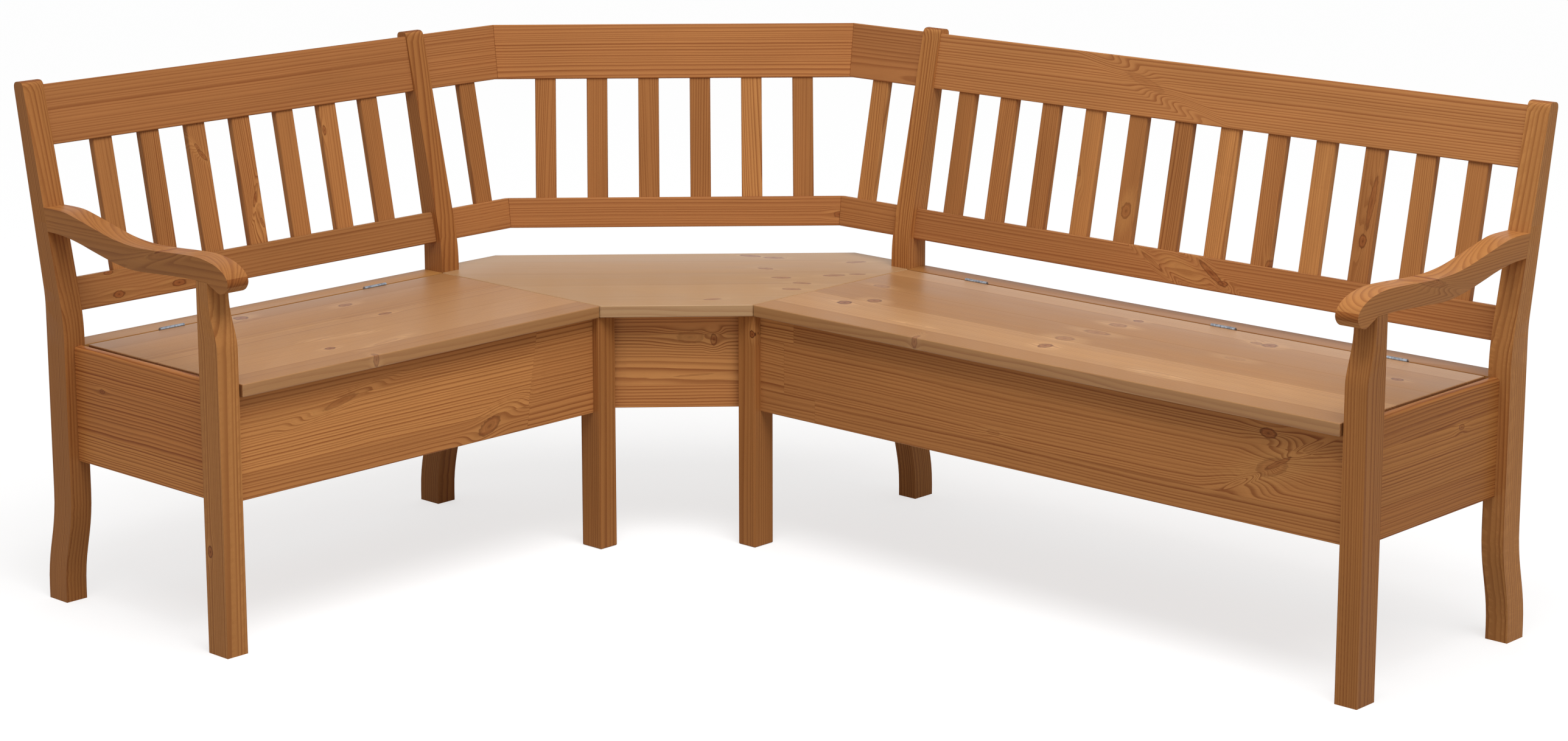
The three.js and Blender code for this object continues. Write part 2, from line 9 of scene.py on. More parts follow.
import bmesh
import bpy
from mathutils import Euler, Matrix, Vector
from mathutils.bvhtree import BVHTree

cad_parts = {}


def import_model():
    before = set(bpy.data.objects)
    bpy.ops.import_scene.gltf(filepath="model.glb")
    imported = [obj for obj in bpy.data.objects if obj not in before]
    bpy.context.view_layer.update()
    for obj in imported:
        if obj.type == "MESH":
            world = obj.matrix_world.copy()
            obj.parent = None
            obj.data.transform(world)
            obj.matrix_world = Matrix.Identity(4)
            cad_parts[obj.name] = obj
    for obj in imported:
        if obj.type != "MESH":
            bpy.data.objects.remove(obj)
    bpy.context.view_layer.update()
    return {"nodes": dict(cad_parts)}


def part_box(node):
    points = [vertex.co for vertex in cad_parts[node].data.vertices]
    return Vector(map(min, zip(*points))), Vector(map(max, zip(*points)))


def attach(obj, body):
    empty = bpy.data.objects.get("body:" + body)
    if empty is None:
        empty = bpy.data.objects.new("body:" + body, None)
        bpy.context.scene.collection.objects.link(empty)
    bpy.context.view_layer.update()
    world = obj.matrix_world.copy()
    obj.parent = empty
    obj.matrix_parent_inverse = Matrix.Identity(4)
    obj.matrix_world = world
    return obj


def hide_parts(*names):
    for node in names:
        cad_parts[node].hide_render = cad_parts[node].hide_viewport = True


LOG = logging.getLogger("corner_bench")

Triple = tuple[float, float, float]
Colour = tuple[float, float, float, float]
Box = tuple[Vector, Vector]
Socket = bpy.types.NodeSocket
Value = float | int | bool | str | Triple | Colour | Socket

# Attributes on a board's mesh: its own coordinates, the number of its wood, and its place in a row
BOARD = "board"
SEED = "seed"
SLAT_NUMBER = "slat_number"

# How many different numbers the boards, the rows of slats and the unnamed finishes get
BOARD_NUMBERS = 400
ROW_NUMBERS = 100
FINISH_NUMBERS = 10000

UP = Vector((0.0, 0.0, 1.0))
WHITE = (1.0, 1.0, 1.0, 1.0)

# Angles and lengths that decide how a mesh is cleaned, eased and shaded
SMOOTH_ANGLE = math.radians(14)
SHARP_ANGLE = math.radians(35)
FLAT_ANGLE = math.radians(0.5)
SQUARE_ANGLE = math.radians(80)
TOUCHING = 0.0009
WELD = 1e-6
SHORTEST_EASED = 0.004
SHORTEST_RAIL_EDGE = 0.1
EASING_STEPS = 3

# Places along an edge where it is tested for a neighbour, and how many hits leave it sharp
EDGE_TESTS = (0.12, 0.3, 0.5, 0.7, 0.88)
HITS_TO_STAY_SHARP = 3

# How squarely a face looks along its board before it counts as end grain, and how that differs
END_GRAIN_FACING = 0.86
END_GRAIN_TINT = (0.86, 0.78, 0.7)
END_GRAIN_CONTRAST = 0.1
END_GRAIN_DULLNESS = 0.15

# Where a bent board's middle line is measured: places along it, and share of its half thickness
BEND_PLACES = 25
BEND_TEST_DEPTH = 0.8

# Waves per metre of the wood's figure: along, across and through a board
SLOW_WAVES = (1.5, 5.0, 5.0)
QUICK_WAVES = (9.0, 24.0, 24.0)
FIBRES = (13.0, 620.0, 620.0)
PATCHES = (2.6, 15.0, 15.0)
RESIN_DASHES = (70.0, 1500.0, 1500.0)
KNOT_EDGE = (130.0, 190.0, 190.0)

# Waves per metre of the zinc's spangles and of its brushing
SPANGLES = (260.0, 260.0, 260.0)
BRUSHING = (900.0, 900.0, 2600.0)

# Depth of the relief on lacquered wood, and length of wood that each slat of a row has to itself
RELIEF_DEPTH = 0.0006
SLAT_STRIDE = 2.0

# How the nodes are laid out in their trees
NODES_IN_ROW = 12
NODE_STEP = 200


class Side(Enum):
    """The two straight benches, named as they stand to the left and right of the corner."""

    LEFT = "left"
    RIGHT = "right"


class Slot(Enum):
    """The finishes of the record, by the name of their material slot."""

    FRAME = "pine_frame"
    PANEL = "pine_panel"
    SEAT = "pine_seat"
    ZINC = "hinge_zinc"


def linear(red: int, green: int, blue: int) -> Colour:
    """Turns a colour as it looks on screen into the one that a shader socket takes.

    Args:
        red: Red from 0 to 255.
        green: Green from 0 to 255.
        blue: Blue from 0 to 255.

    Returns:
        The linear colour, with an alpha of 1.
    """
    def channel(value: int) -> float:
        """Returns one linear channel."""
        share = value / 255
        return share / 12.92 if share <= 0.04045 else ((share + 0.055) / 1.055) ** 2.4

    return channel(red), channel(green), channel(blue), 1.0


def number_for(label: str, count: int) -> int:
    """Returns a number below the count that is always the same for a label."""
    return zlib.crc32(label.encode()) % count


def add_object(label: str, data: bpy.types.ID) -> bpy.types.Object:
    """Adds an object of the given name and data to the scene.

    Args:
        label: Name of the object.
        data: Its mesh, light or camera.

    Returns:
        The object.
    """
    thing = bpy.data.objects.new(label, data)
    bpy.context.scene.collection.objects.link(thing)
    return thing


class Graph:
    """Short calls that add nodes to a shader or geometry tree and join them."""

    def __init__(self, tree: bpy.types.NodeTree) -> None:
        """Keeps the tree that the nodes go into."""
        self.tree = tree

    def add(self, kind: str, **settings: object) -> bpy.types.Node:
        """Adds one node.

        Args:
            kind: Blender's type name of the node.
            **settings: Properties to set on it.

        Returns:
            The new node.
        """
        node = self.tree.nodes.new(kind)
        row, column = divmod(len(self.tree.nodes), NODES_IN_ROW)
        node.location = (NODE_STEP * column, -NODE_STEP * row)
        for name, value in settings.items():
            setattr(node, name, value)
        return node

    def feed(self, socket: Socket, value: Value) -> None:
        """Gives an input its value, or joins it to an output.

        Args:
            socket: The input.
            value: A plain value or an output socket.
        """
        if isinstance(value, Socket):
            self.tree.links.new(value, socket)
        else:
            socket.default_value = value

    def call(self, kind: str, inputs: dict[str | int, Value], **settings: object) -> bpy.types.Node:
        """Adds a node and feeds its inputs.

        Args:
            kind: Blender's type name of the node.
            inputs: Values or outputs for its inputs, by name or number.
            **settings: Properties to set on it.

        Returns:
            The new node.
        """
        node = self.add(kind, **settings)
        for name, value in inputs.items():
            self.feed(node.inputs[name], value)
        return node

    def result(self, kind: str, inputs: dict[str | int, Value], **settings: object) -> Socket:
        """Adds a node, feeds its inputs and returns its first output."""
        return self.call(kind, inputs, **settings).outputs[0]

    def math(self, operation: str, *values: Value) -> Socket:
        """Returns the output of a Math node."""
        return self.result("ShaderNodeMath", dict(enumerate(values)), operation=operation)

    def plus(self, first: Value, second: Value) -> Socket:
        """Returns the sum of two values."""
        return self.math("ADD", first, second)

    def minus(self, first: Value, second: Value) -> Socket:
        """Returns the first value less the second."""
        return self.math("SUBTRACT", first, second)

    def times(self, first: Value, second: Value) -> Socket:
        """Returns the product of two values."""
        return self.math("MULTIPLY", first, second)

    def over(self, first: Value, second: Value) -> Socket:
        """Returns the first value divided by the second."""
        return self.math("DIVIDE", first, second)

    def vector(self, operation: str, *values: Value) -> Socket:
        """Returns the vector, or the length, that a Vector Math node makes."""
        node = self.call("ShaderNodeVectorMath", dict(enumerate(values)), operation=operation)
        return node.outputs["Value" if operation == "LENGTH" else "Vector"]

    def split(self, vector: Socket) -> list[Socket]:
        """Returns the three parts of a vector."""
        return list(self.call("ShaderNodeSeparateXYZ", {0: vector}).outputs)

    def combine(self, x: Value, y: Value, z: Value) -> Socket:
        """Returns a vector made of three parts."""
        return self.result("ShaderNodeCombineXYZ", {0: x, 1: y, 2: z})

    def scaled(self, vector: Socket, sizes: Triple, shift: Value = 0.0) -> Socket:
        """Stretches a vector part by part and slides its first part.

        Args:
            vector: The vector.
            sizes: Factor for each part.
            shift: Amount added to the first part.

        Returns:
            The new vector.
        """
        return self.vector("ADD", self.vector("MULTIPLY", vector, sizes), self.combine(shift, 0.0, 0.0))

    def noise(self, vector: Socket, detail: float = 2.0, roughness: float = 0.5) -> Socket:
        """Returns soft noise from about -0.5 to 0.5 over a vector."""
        inputs = {"Vector": vector, "Scale": 1.0, "Detail": detail, "Roughness": roughness}
        return self.minus(self.result("ShaderNodeTexNoise", inputs), 0.5)

    def chance(self, x: Value, y: Value, z: Value = 0.0) -> bpy.types.Node:
        """Returns a White Noise node, one random value and colour for each set of whole numbers."""
        inputs = {"Vector": self.combine(x, y, z)}
        return self.call("ShaderNodeTexWhiteNoise", inputs, noise_dimensions="3D")

    def ramp(self, value: Value, low: Value, high: Value, start: Value = 0.0, end: Value = 1.0) -> Socket:
        """Moves smoothly from one value to another as the given one goes from low to high.

        Args:
            value: The given value.
            low: Where the move starts.
            high: Where it ends.
            start: Result at and below the low value.
            end: Result at and above the high value.

        Returns:
            The result.
        """
        inputs = {"Value": value, "From Min": low, "From Max": high, "To Min": start, "To Max": end}
        return self.result("ShaderNodeMapRange", inputs, interpolation_type="SMOOTHSTEP")

    def tint(self, factor: Value, first: Value, second: Value, blend: str = "MIX") -> Socket:
        """Returns two colours mixed."""
        inputs = {0: factor, 6: first, 7: second}
        return self.call("ShaderNodeMix", inputs, data_type="RGBA", blend_type=blend).outputs[2]

    def relief(self, height: Value, strength: float, distance: float) -> Socket:
        """Returns the normal of a Bump node."""
        inputs = {"Strength": strength, "Distance": distance, "Height": height}
        return self.result("ShaderNodeBump", inputs)

    def store(self, geometry: Socket, name: str, value: Value, kind: str, domain: str = "POINT") -> Socket:
        """Writes a named attribute on geometry.

        Args:
            geometry: The geometry.
            name: Name of the attribute.
            value: Its value.
            kind: FLOAT or FLOAT_VECTOR.
            domain: POINT or INSTANCE.

        Returns:
            The geometry with the attribute.
        """
        inputs = {"Geometry": geometry, "Name": name, "Value": value}
        return self.result("GeometryNodeStoreNamedAttribute", inputs, data_type=kind, domain=domain)

    def stored(self, name: str, kind: str) -> Socket:
        """Returns a named attribute."""
        return self.result("GeometryNodeInputNamedAttribute", {"Name": name}, data_type=kind)

    def row(self, instance: Socket, count: Value, pitch: Value) -> Socket:
        """Sets instances in a row along x.

        Args:
            instance: What is repeated.
            count: How many there are.
            pitch: Distance from one to the next.

        Returns:
            The row.
        """
        step = self.combine(pitch, 0.0, 0.0)
        line = self.result("GeometryNodeMeshLine", {"Count": count, "Offset": step})
        return self.result("GeometryNodeInstanceOnPoints", {"Points": line, "Instance": instance})

    def show(self, shader: bpy.types.Node, kind: str = "Material") -> None:
        """Makes a shader what the material or world shows."""
        self.feed(self.add("ShaderNodeOutput" + kind).inputs["Surface"], shader.outputs[0])


def blank_graph(owner: bpy.types.Material | bpy.types.World) -> Graph:
    """Empties the node tree of a material or world.

    Args:
        owner: The material or world.

    Returns:
        The graph that its nodes are added to.
    """
    owner.use_nodes = True
    owner.node_tree.nodes.clear()
    return Graph(owner.node_tree)


class Recipe:
    """A node group with named inputs and outputs, built once."""

    def __init__(self, name: str, kind: str = "ShaderNodeTree") -> None:
        """Starts an empty group.

        Args:
            name: Name of the group.
            kind: Blender's type name of its tree.
        """
        self.tree = bpy.data.node_groups.new(name, kind)
        self.graph = Graph(self.tree)
        self._given = None

    def take(self, kind: str, *names: str) -> None:
        """Adds named inputs of one kind, each zero where nothing is joined.

        Args:
            kind: Float, Vector, Color, Int or Material.
            *names: Their names.
        """
        for name in names:
            self.tree.interface.new_socket(name=name, in_out="INPUT", socket_type="NodeSocket" + kind)

    def given(self, name: str) -> Socket:
        """Returns one of the group's inputs, for use inside it."""
        if self._given is None:
            self._given = self.graph.add("NodeGroupInput")
        return self._given.outputs[name]

    def give(self, **results: Socket) -> None:
        """Adds the outputs and joins them.

        Args:
            **results: Output sockets by name, each ending in the kind after two underscores.
        """
        for label in results:
            name, kind = label.split("__")
            self.tree.interface.new_socket(name=name, in_out="OUTPUT", socket_type="NodeSocket" + kind)
        node = self.graph.add("NodeGroupOutput")
        for label, socket in results.items():
            self.graph.feed(node.inputs[label.split("__")[0]], socket)


class Grain:
    """The shader groups that make pine: staves, knots, growth rings and lacquered tone."""

    def __init__(self) -> None:
        """Builds the four groups."""
        self.staves = self._staves()
        self.knot = self._knot()
        self.rings = self._rings()
        self.tone = self._tone()

    @staticmethod
    def _staves() -> bpy.types.NodeTree:
        """Cuts a board into glued staves, each with its own place in the tree it was sawn from.

        Returns:
            The group.
        """
        recipe = Recipe("glued_staves")
        recipe.take("Vector", "Board")
        recipe.take("Float", "Seed", "Stave Width", "Stave Length", "Offset", "Stagger", "Slant")
        recipe.take("Float", "Pith Side", "Pith Depth")
        most_slide, least_side, least_depth = 9.0, 0.45, 0.35
        seam_half, seam_faded = 0.0002, 0.0008
        g, given = recipe.graph, recipe.given
        seed, width, length = given("Seed"), given("Stave Width"), given("Stave Length")
        along, across, through = g.split(given("Board"))
        row = g.plus(g.over(across, width), 0.5)
        row_index, row_place = g.math("FLOOR", row), g.math("FRACT", row)
        stagger = g.times(g.chance(row_index, seed).outputs["Value"], given("Stagger"))
        slid = g.plus(along, g.times(across, given("Slant")))
        column = g.plus(g.plus(g.over(slid, length), given("Offset")), stagger)
        column_index, column_place = g.math("FLOOR", column), g.math("FRACT", column)
        first, second, third = g.split(g.chance(row_index, seed, column_index).outputs["Color"])
        turn = g.math("SIGN", g.minus(first, 0.5))
        inside = g.times(g.times(g.minus(row_place, 0.5), width), turn)
        beside = g.times(given("Pith Side"), g.plus(second, least_side))
        below = g.times(given("Pith Depth"), g.plus(third, least_depth))
        slide = g.times(first, most_slide)
        vector = g.combine(g.plus(along, slide), g.plus(inside, beside), g.plus(through, below))
        shade = g.minus(g.chance(column_index, row_index, seed).outputs["Value"], 0.5)
        edges = [
            g.times(g.math("MINIMUM", place, g.minus(1.0, place)), size)
            for place, size in ((row_place, width), (column_place, length))
        ]
        seam = g.ramp(g.math("MINIMUM", *edges), seam_half, seam_faded, 1.0, 0.0)
        recipe.give(Grain__Vector=vector, Shade__Float=shade, Seam__Float=seam)
        return recipe.tree

    @staticmethod
    def _knot() -> bpy.types.NodeTree:
        """Adds one knot: the grain parts round it, and its heart is dark with rings of its own.

        Returns:
            The group.
        """
        recipe = Recipe("knot")
        recipe.take("Vector", "Board", "Warp", "Centre", "Size")
        recipe.take("Float", "Mask", "Heart", "Halo", "Depth of Colour", "Paleness", "Reach", "Tilt")
        ragged, long_pull, most_pull, ring_waves, ring_depth = 0.55, (0.62, 1.0, 1.0), 0.88, 19.0, 0.4
        outside, rim_inside, rim_outside = (1.06, 0.82), (0.62, 0.95), (1.15, 0.98)
        middle, heart_edge, pull_start, halo_start, halo_stop = (0.42, 0.05), (1.2, 1.0), 0.3, 0.8, 0.9
        g, given = recipe.graph, recipe.given
        offset = g.vector("SUBTRACT", given("Board"), given("Centre"))
        inputs = {"Vector": offset, "Angle": given("Tilt")}
        turned = g.result("ShaderNodeVectorRotate", inputs, rotation_type="Z_AXIS")
        wobble = g.plus(1.0, g.times(g.noise(g.scaled(given("Board"), KNOT_EDGE)), ragged))
        share = g.vector("DIVIDE", turned, given("Size"))
        distance = g.times(g.vector("LENGTH", share), wobble)
        wide = g.vector("LENGTH", g.vector("MULTIPLY", share, long_pull))
        pull = g.ramp(wide, pull_start, given("Reach"), most_pull, 0.0)
        pulled = g.vector("MULTIPLY", offset, g.combine(pull, pull, pull))
        shift = g.vector("MULTIPLY", pulled, (0.0, -1.0, -1.0))
        strength = given("Depth of Colour")
        solid = g.times(g.ramp(distance, *outside), strength)
        ripple = g.times(g.plus(g.math("SINE", g.times(distance, ring_waves)), 1.0), 0.5)
        rim = g.times(g.ramp(distance, *rim_inside), g.ramp(distance, *rim_outside))
        ringed = g.math("MAXIMUM", rim, g.times(ripple, ring_depth))
        core = g.math("MAXIMUM", g.ramp(distance, *middle), ringed)
        heart = g.times(g.times(core, g.ramp(distance, *heart_edge)), strength)
        ring = g.ramp(wide, g.times(given("Reach"), halo_start), halo_stop)
        halo = g.times(ring, given("Paleness"))
        recipe.give(
            Warp__Vector=g.vector("ADD", given("Warp"), shift),
            Mask__Float=g.math("MAXIMUM", given("Mask"), solid),
            Heart__Float=g.math("MAXIMUM", given("Heart"), heart),
            Halo__Float=g.math("MAXIMUM", given("Halo"), halo),
        )
        return recipe.tree

    @staticmethod
    def _rings() -> bpy.types.NodeTree:
        """Draws the growth rings round the pith line, the fibre and the slow figure of the wood.

        Returns:
            The group.
        """
        recipe = Recipe("growth_rings")
        recipe.take("Vector", "Grain", "Warp")
        recipe.take("Float", "Seed", "Ring Width", "Wander", "Variety", "Run Out")
        quick_share, uneven_waves, uneven_rings, softness = 0.14, 55.0, 3.2, 1.5
        rise, fall, fleck_edge, fibre_roughness = (0.2, 0.88), (0.92, 0.995), (0.16, 0.26), 0.62
        fleck_everywhere, fleck_in_late = 0.3, 0.7
        g, given = recipe.graph, recipe.given
        seed, wander, variety = given("Seed"), given("Wander"), given("Variety")
        calm, lean, wide = g.split(g.chance(g.math("FLOOR", seed), 3.0).outputs["Color"])
        place = g.vector("ADD", given("Grain"), given("Warp"))
        along, across, through = g.split(place)
        radius = g.vector("LENGTH", g.combine(0.0, across, through))
        slow = g.noise(g.scaled(place, SLOW_WAVES, seed), 1.0)
        quick = g.noise(g.scaled(place, QUICK_WAVES, seed), 2.0)
        bent = g.plus(radius, g.times(slow, wander))
        bent = g.plus(bent, g.times(g.times(quick, wander), quick_share))
        slope = g.times(g.minus(lean, 0.5), given("Run Out"))
        bent = g.plus(bent, g.times(along, slope))
        uneven = g.noise(g.combine(g.times(bent, uneven_waves), seed, 0.0), 1.0)
        width = g.times(given("Ring Width"), g.plus(1.0, g.times(wide, variety)))
        phase = g.plus(g.over(bent, width), g.times(uneven, uneven_rings))
        turn = g.math("FRACT", phase)
        late = g.math("POWER", g.ramp(turn, *rise), softness)
        late = g.times(late, g.ramp(turn, *fall, 1.0, 0.0))
        power = g.chance(g.math("FLOOR", phase), g.math("FLOOR", seed)).outputs["Value"]
        late = g.times(late, g.plus(g.times(power, 0.5), 0.5))
        late = g.times(late, g.minus(1.0, g.times(calm, variety)))
        fibre = g.noise(g.scaled(place, FIBRES, seed), 3.0, fibre_roughness)
        patch = g.noise(g.scaled(place, PATCHES, seed), 2.0)
        dash = g.noise(g.scaled(place, RESIN_DASHES, seed), 1.0)
        amount = g.plus(g.times(late, fleck_in_late), fleck_everywhere)
        fleck = g.times(g.ramp(dash, *fleck_edge), amount)
        recipe.give(Late__Float=late, Fibre__Float=fibre, Figure__Float=patch, Fleck__Float=fleck)
        return recipe.tree

    @staticmethod
    def _tone() -> bpy.types.NodeTree:
        """Turns the masks into the colour, gloss and relief of lacquered pine.

        Returns:
            The group.
        """
        recipe = Recipe("lacquered_tone")
        recipe.take("Color", "Early", "Late Wood", "Knot Wood", "Heart Wood", "Pale Wood")
        recipe.take("Float", "Late", "Fibre", "Figure", "Fleck", "Shade", "Seam", "Mask", "Heart", "Halo")
        recipe.take("Float", "Contrast", "Mottle", "Gloss", "Seam Depth")
        pale_share, halo_share, knot_share, heart_share = 0.45, 0.6, 0.75, 0.85
        shade_share, fibre_share, fleck_share, shade_start = 0.55, 0.2, 0.13, 0.1
        patch_dullness, seam_dullness = 0.12, 0.2
        ring_height, fibre_height, knot_depth = 0.45, 0.6, 0.2
        g, given = recipe.graph, recipe.given
        pale = given("Pale Wood")
        early = g.tint(g.ramp(given("Shade"), shade_start, 0.5, 0.0, pale_share), given("Early"), pale)
        early = g.tint(g.times(given("Halo"), halo_share), early, pale)
        colour = g.tint(g.times(given("Late"), given("Contrast")), early, given("Late Wood"))
        bright = g.plus(g.times(given("Figure"), given("Mottle")), 1.0)
        bright = g.plus(bright, g.times(given("Shade"), g.times(given("Mottle"), shade_share)))
        bright = g.plus(bright, g.times(given("Fibre"), fibre_share))
        bright = g.minus(bright, g.times(given("Fleck"), fleck_share))
        bright = g.minus(bright, g.times(given("Seam"), given("Seam Depth")))
        colour = g.tint(1.0, colour, g.combine(bright, bright, bright), "MULTIPLY")
        colour = g.tint(g.times(given("Mask"), knot_share), colour, given("Knot Wood"))
        colour = g.tint(g.times(given("Heart"), heart_share), colour, given("Heart Wood"))
        rough = g.plus(given("Gloss"), g.times(given("Figure"), patch_dullness))
        rough = g.plus(rough, g.times(given("Seam"), seam_dullness))
        height = g.plus(g.times(given("Late"), ring_height), g.times(given("Fibre"), fibre_height))
        height = g.minus(height, g.plus(given("Seam"), g.times(given("Mask"), knot_depth)))
        recipe.give(Color__Color=colour, Roughness__Float=rough, Height__Float=height)
        return recipe.tree


@dataclass(frozen=True)
class Knot:
    """A knot: its place on the bench or in a row of slats, its half sizes and how it looks."""

    at: Triple
    size: tuple[float, float]
    strength: float
    reach: float = 3.0
    pale: float = 0.5
    tilt: float = 0.0
    through: float = 1.0


@dataclass(frozen=True)
class PineFinish:
    """Lacquered pine as it looks on one kind of board, which is one stave where none is narrower."""

    slot: Slot
    early: tuple[int, int, int]
    late: tuple[int, int, int]
    knot: tuple[int, int, int] = (150, 80, 40)
    heart: tuple[int, int, int] = (84, 38, 20)
    pale: tuple[int, int, int] = (204, 146, 86)
    contrast: float = 0.8
    mottle: float = 0.3
    gloss: float = 0.42
    ring_width: float = 0.0042
    wander: float = 0.016
    stave_width: float = 10.0
    stave_length: float = 10.0
    offset: float = 0.5
    stagger: float = 0.0
    pith_side: float = 0.07
    pith_depth: float = 0.035
    seam_depth: float = 0.3
    relief: float = 0.12
    sheen: float = 0.07
    slant: float = 0.0
    variety: float = 0.0
    run_out: float = 0.0

    def material(self, label: str, grain: Grain, spots: list[tuple[Triple, Knot]]) -> bpy.types.Material:
        """Makes the material of one board, or of a set of like boards.

        Args:
            label: Name of the material.
            grain: The shader groups.
            spots: Each knot with its centre in the board's own coordinates.

        Returns:
            The material.
        """
        material = bpy.data.materials.new(label)
        g = blank_graph(material)
        board = g.add("ShaderNodeAttribute", attribute_name=BOARD).outputs["Vector"]
        seed = g.add("ShaderNodeAttribute", attribute_name=SEED).outputs["Fac"]
        staves = g.call("ShaderNodeGroup", {
            "Board": board, "Seed": seed, "Stave Width": self.stave_width,
            "Stave Length": self.stave_length, "Offset": self.offset, "Stagger": self.stagger,
            "Slant": self.slant, "Pith Side": self.pith_side, "Pith Depth": self.pith_depth,
        }, node_tree=grain.staves)
        carried = {}
        for centre, knot in spots:
            node = g.call("ShaderNodeGroup", {
                "Board": board, "Centre": centre, "Size": (*knot.size, knot.through),
                "Depth of Colour": knot.strength, "Paleness": knot.pale, "Reach": knot.reach,
                "Tilt": -math.radians(knot.tilt), **carried,
            }, node_tree=grain.knot)
            carried = {name: node.outputs[name] for name in ("Warp", "Mask", "Heart", "Halo")}
        warp = {"Warp": carried.pop("Warp")} if carried else {}
        rings = g.call("ShaderNodeGroup", {
            "Grain": staves.outputs["Grain"], "Seed": seed, "Ring Width": self.ring_width,
            "Wander": self.wander, "Variety": self.variety, "Run Out": self.run_out, **warp,
        }, node_tree=grain.rings)
        tone = g.call("ShaderNodeGroup", {
            "Early": linear(*self.early), "Late Wood": linear(*self.late),
            "Knot Wood": linear(*self.knot), "Heart Wood": linear(*self.heart),
            "Pale Wood": linear(*self.pale), "Contrast": self.contrast, "Mottle": self.mottle,
            "Gloss": self.gloss, "Seam Depth": self.seam_depth,
            **{name: staves.outputs[name] for name in ("Shade", "Seam")},
            **{name: rings.outputs[name] for name in ("Late", "Fibre", "Figure", "Fleck")},
            **carried,
        }, node_tree=grain.tone)
        g.show(g.call("ShaderNodeBsdfPrincipled", {
            "Base Color": tone.outputs["Color"],
            "Roughness": tone.outputs["Roughness"],
            "Normal": g.relief(tone.outputs["Height"], self.relief, RELIEF_DEPTH),
            "Specular IOR Level": self.sheen,
        }))
        return material

    def tinted(self, share: Triple) -> "PineFinish":
        """Changes the tone of the wood: for end grain, for boards that differ, and for painted shade and
        painted light on single boards.

        Args:
            share: Factors for the red, green and blue of its early, late and pale wood.

        Returns:
            The changed finish.
        """
        colours = {
            name: tuple(min(255, round(value * part)) for value, part in zip(getattr(self, name), share))
            for name in ("early", "late", "pale")
        }
        return replace(self, **colours)

    def end_grain(self) -> "PineFinish":
        """Darkens this pine for the places where a board is cut across.

        Returns:
            The finish of its end grain.
        """
        darker = self.tinted(END_GRAIN_TINT)
        contrast = min(1.0, self.contrast + END_GRAIN_CONTRAST)
        return replace(darker, contrast=contrast, gloss=self.gloss + END_GRAIN_DULLNESS)


@dataclass(frozen=True)
class ZincFinish:
    """Bright zinc plating on the hinges and screws."""

    colour: tuple[int, int, int] = (176, 184, 194)
    shadow: tuple[int, int, int] = (132, 138, 148)
    gloss: float = 0.34
    spangle_edge: float = 0.22
    dullness: float = 0.3
    relief: float = 0.15
    relief_depth: float = 0.0001

    def material(self, label: str) -> bpy.types.Material:
        """Makes the material.

        Args:
            label: Name of the material.

        Returns:
            The material.
        """
        material = bpy.data.materials.new(label)
        g = blank_graph(material)
        place = g.add("ShaderNodeTexCoord").outputs["Object"]
        spangle = g.noise(g.scaled(place, SPANGLES), 3.0)
        brushed = g.noise(g.scaled(place, BRUSHING), 2.0)
        cloud = g.ramp(spangle, -self.spangle_edge, self.spangle_edge)
        colour = g.tint(cloud, linear(*self.shadow), linear(*self.colour))
        g.show(g.call("ShaderNodeBsdfPrincipled", {
            "Base Color": colour,
            "Roughness": g.plus(self.gloss, g.times(spangle, self.dullness)),
            "Metallic": 1.0,
            "Normal": g.relief(brushed, self.relief, self.relief_depth),
        }))
        return material


@dataclass(frozen=True)
class Axes:
    """The directions of a board, the point that its coordinates start from, and its bent middle line."""

    along: Vector
    across: Vector
    origin: Vector
    bend: tuple[tuple[float, float], ...] = ()

    def place(self, point: Vector) -> Vector:
        """Finds a point in the board's own coordinates: along, across and through it.

        Args:
            point: The point on the bench.

        Returns:
            The three distances.
        """
        offset = point - self.origin
        reach = offset.dot(self.along)
        return Vector((reach, offset.dot(self.across) - self.middle(reach), offset.dot(self.through)))

    def middle(self, reach: float) -> float:
        """Tells how far a bent board's middle line has moved across.

        Args:
            reach: Distance along the board from its origin.

        Returns:
            The distance across, which is nothing on a straight board.
        """
        if not self.bend:
            return 0.0
        for (start, first), (stop, last) in zip(self.bend, self.bend[1:]):
            if reach < stop:
                share = max(0.0, (reach - start) / (stop - start))
                return first + (last - first) * share
        return self.bend[-1][1]

    @property
    def through(self) -> Vector:
        """Returns the direction through the board."""
        return self.along.cross(self.across)


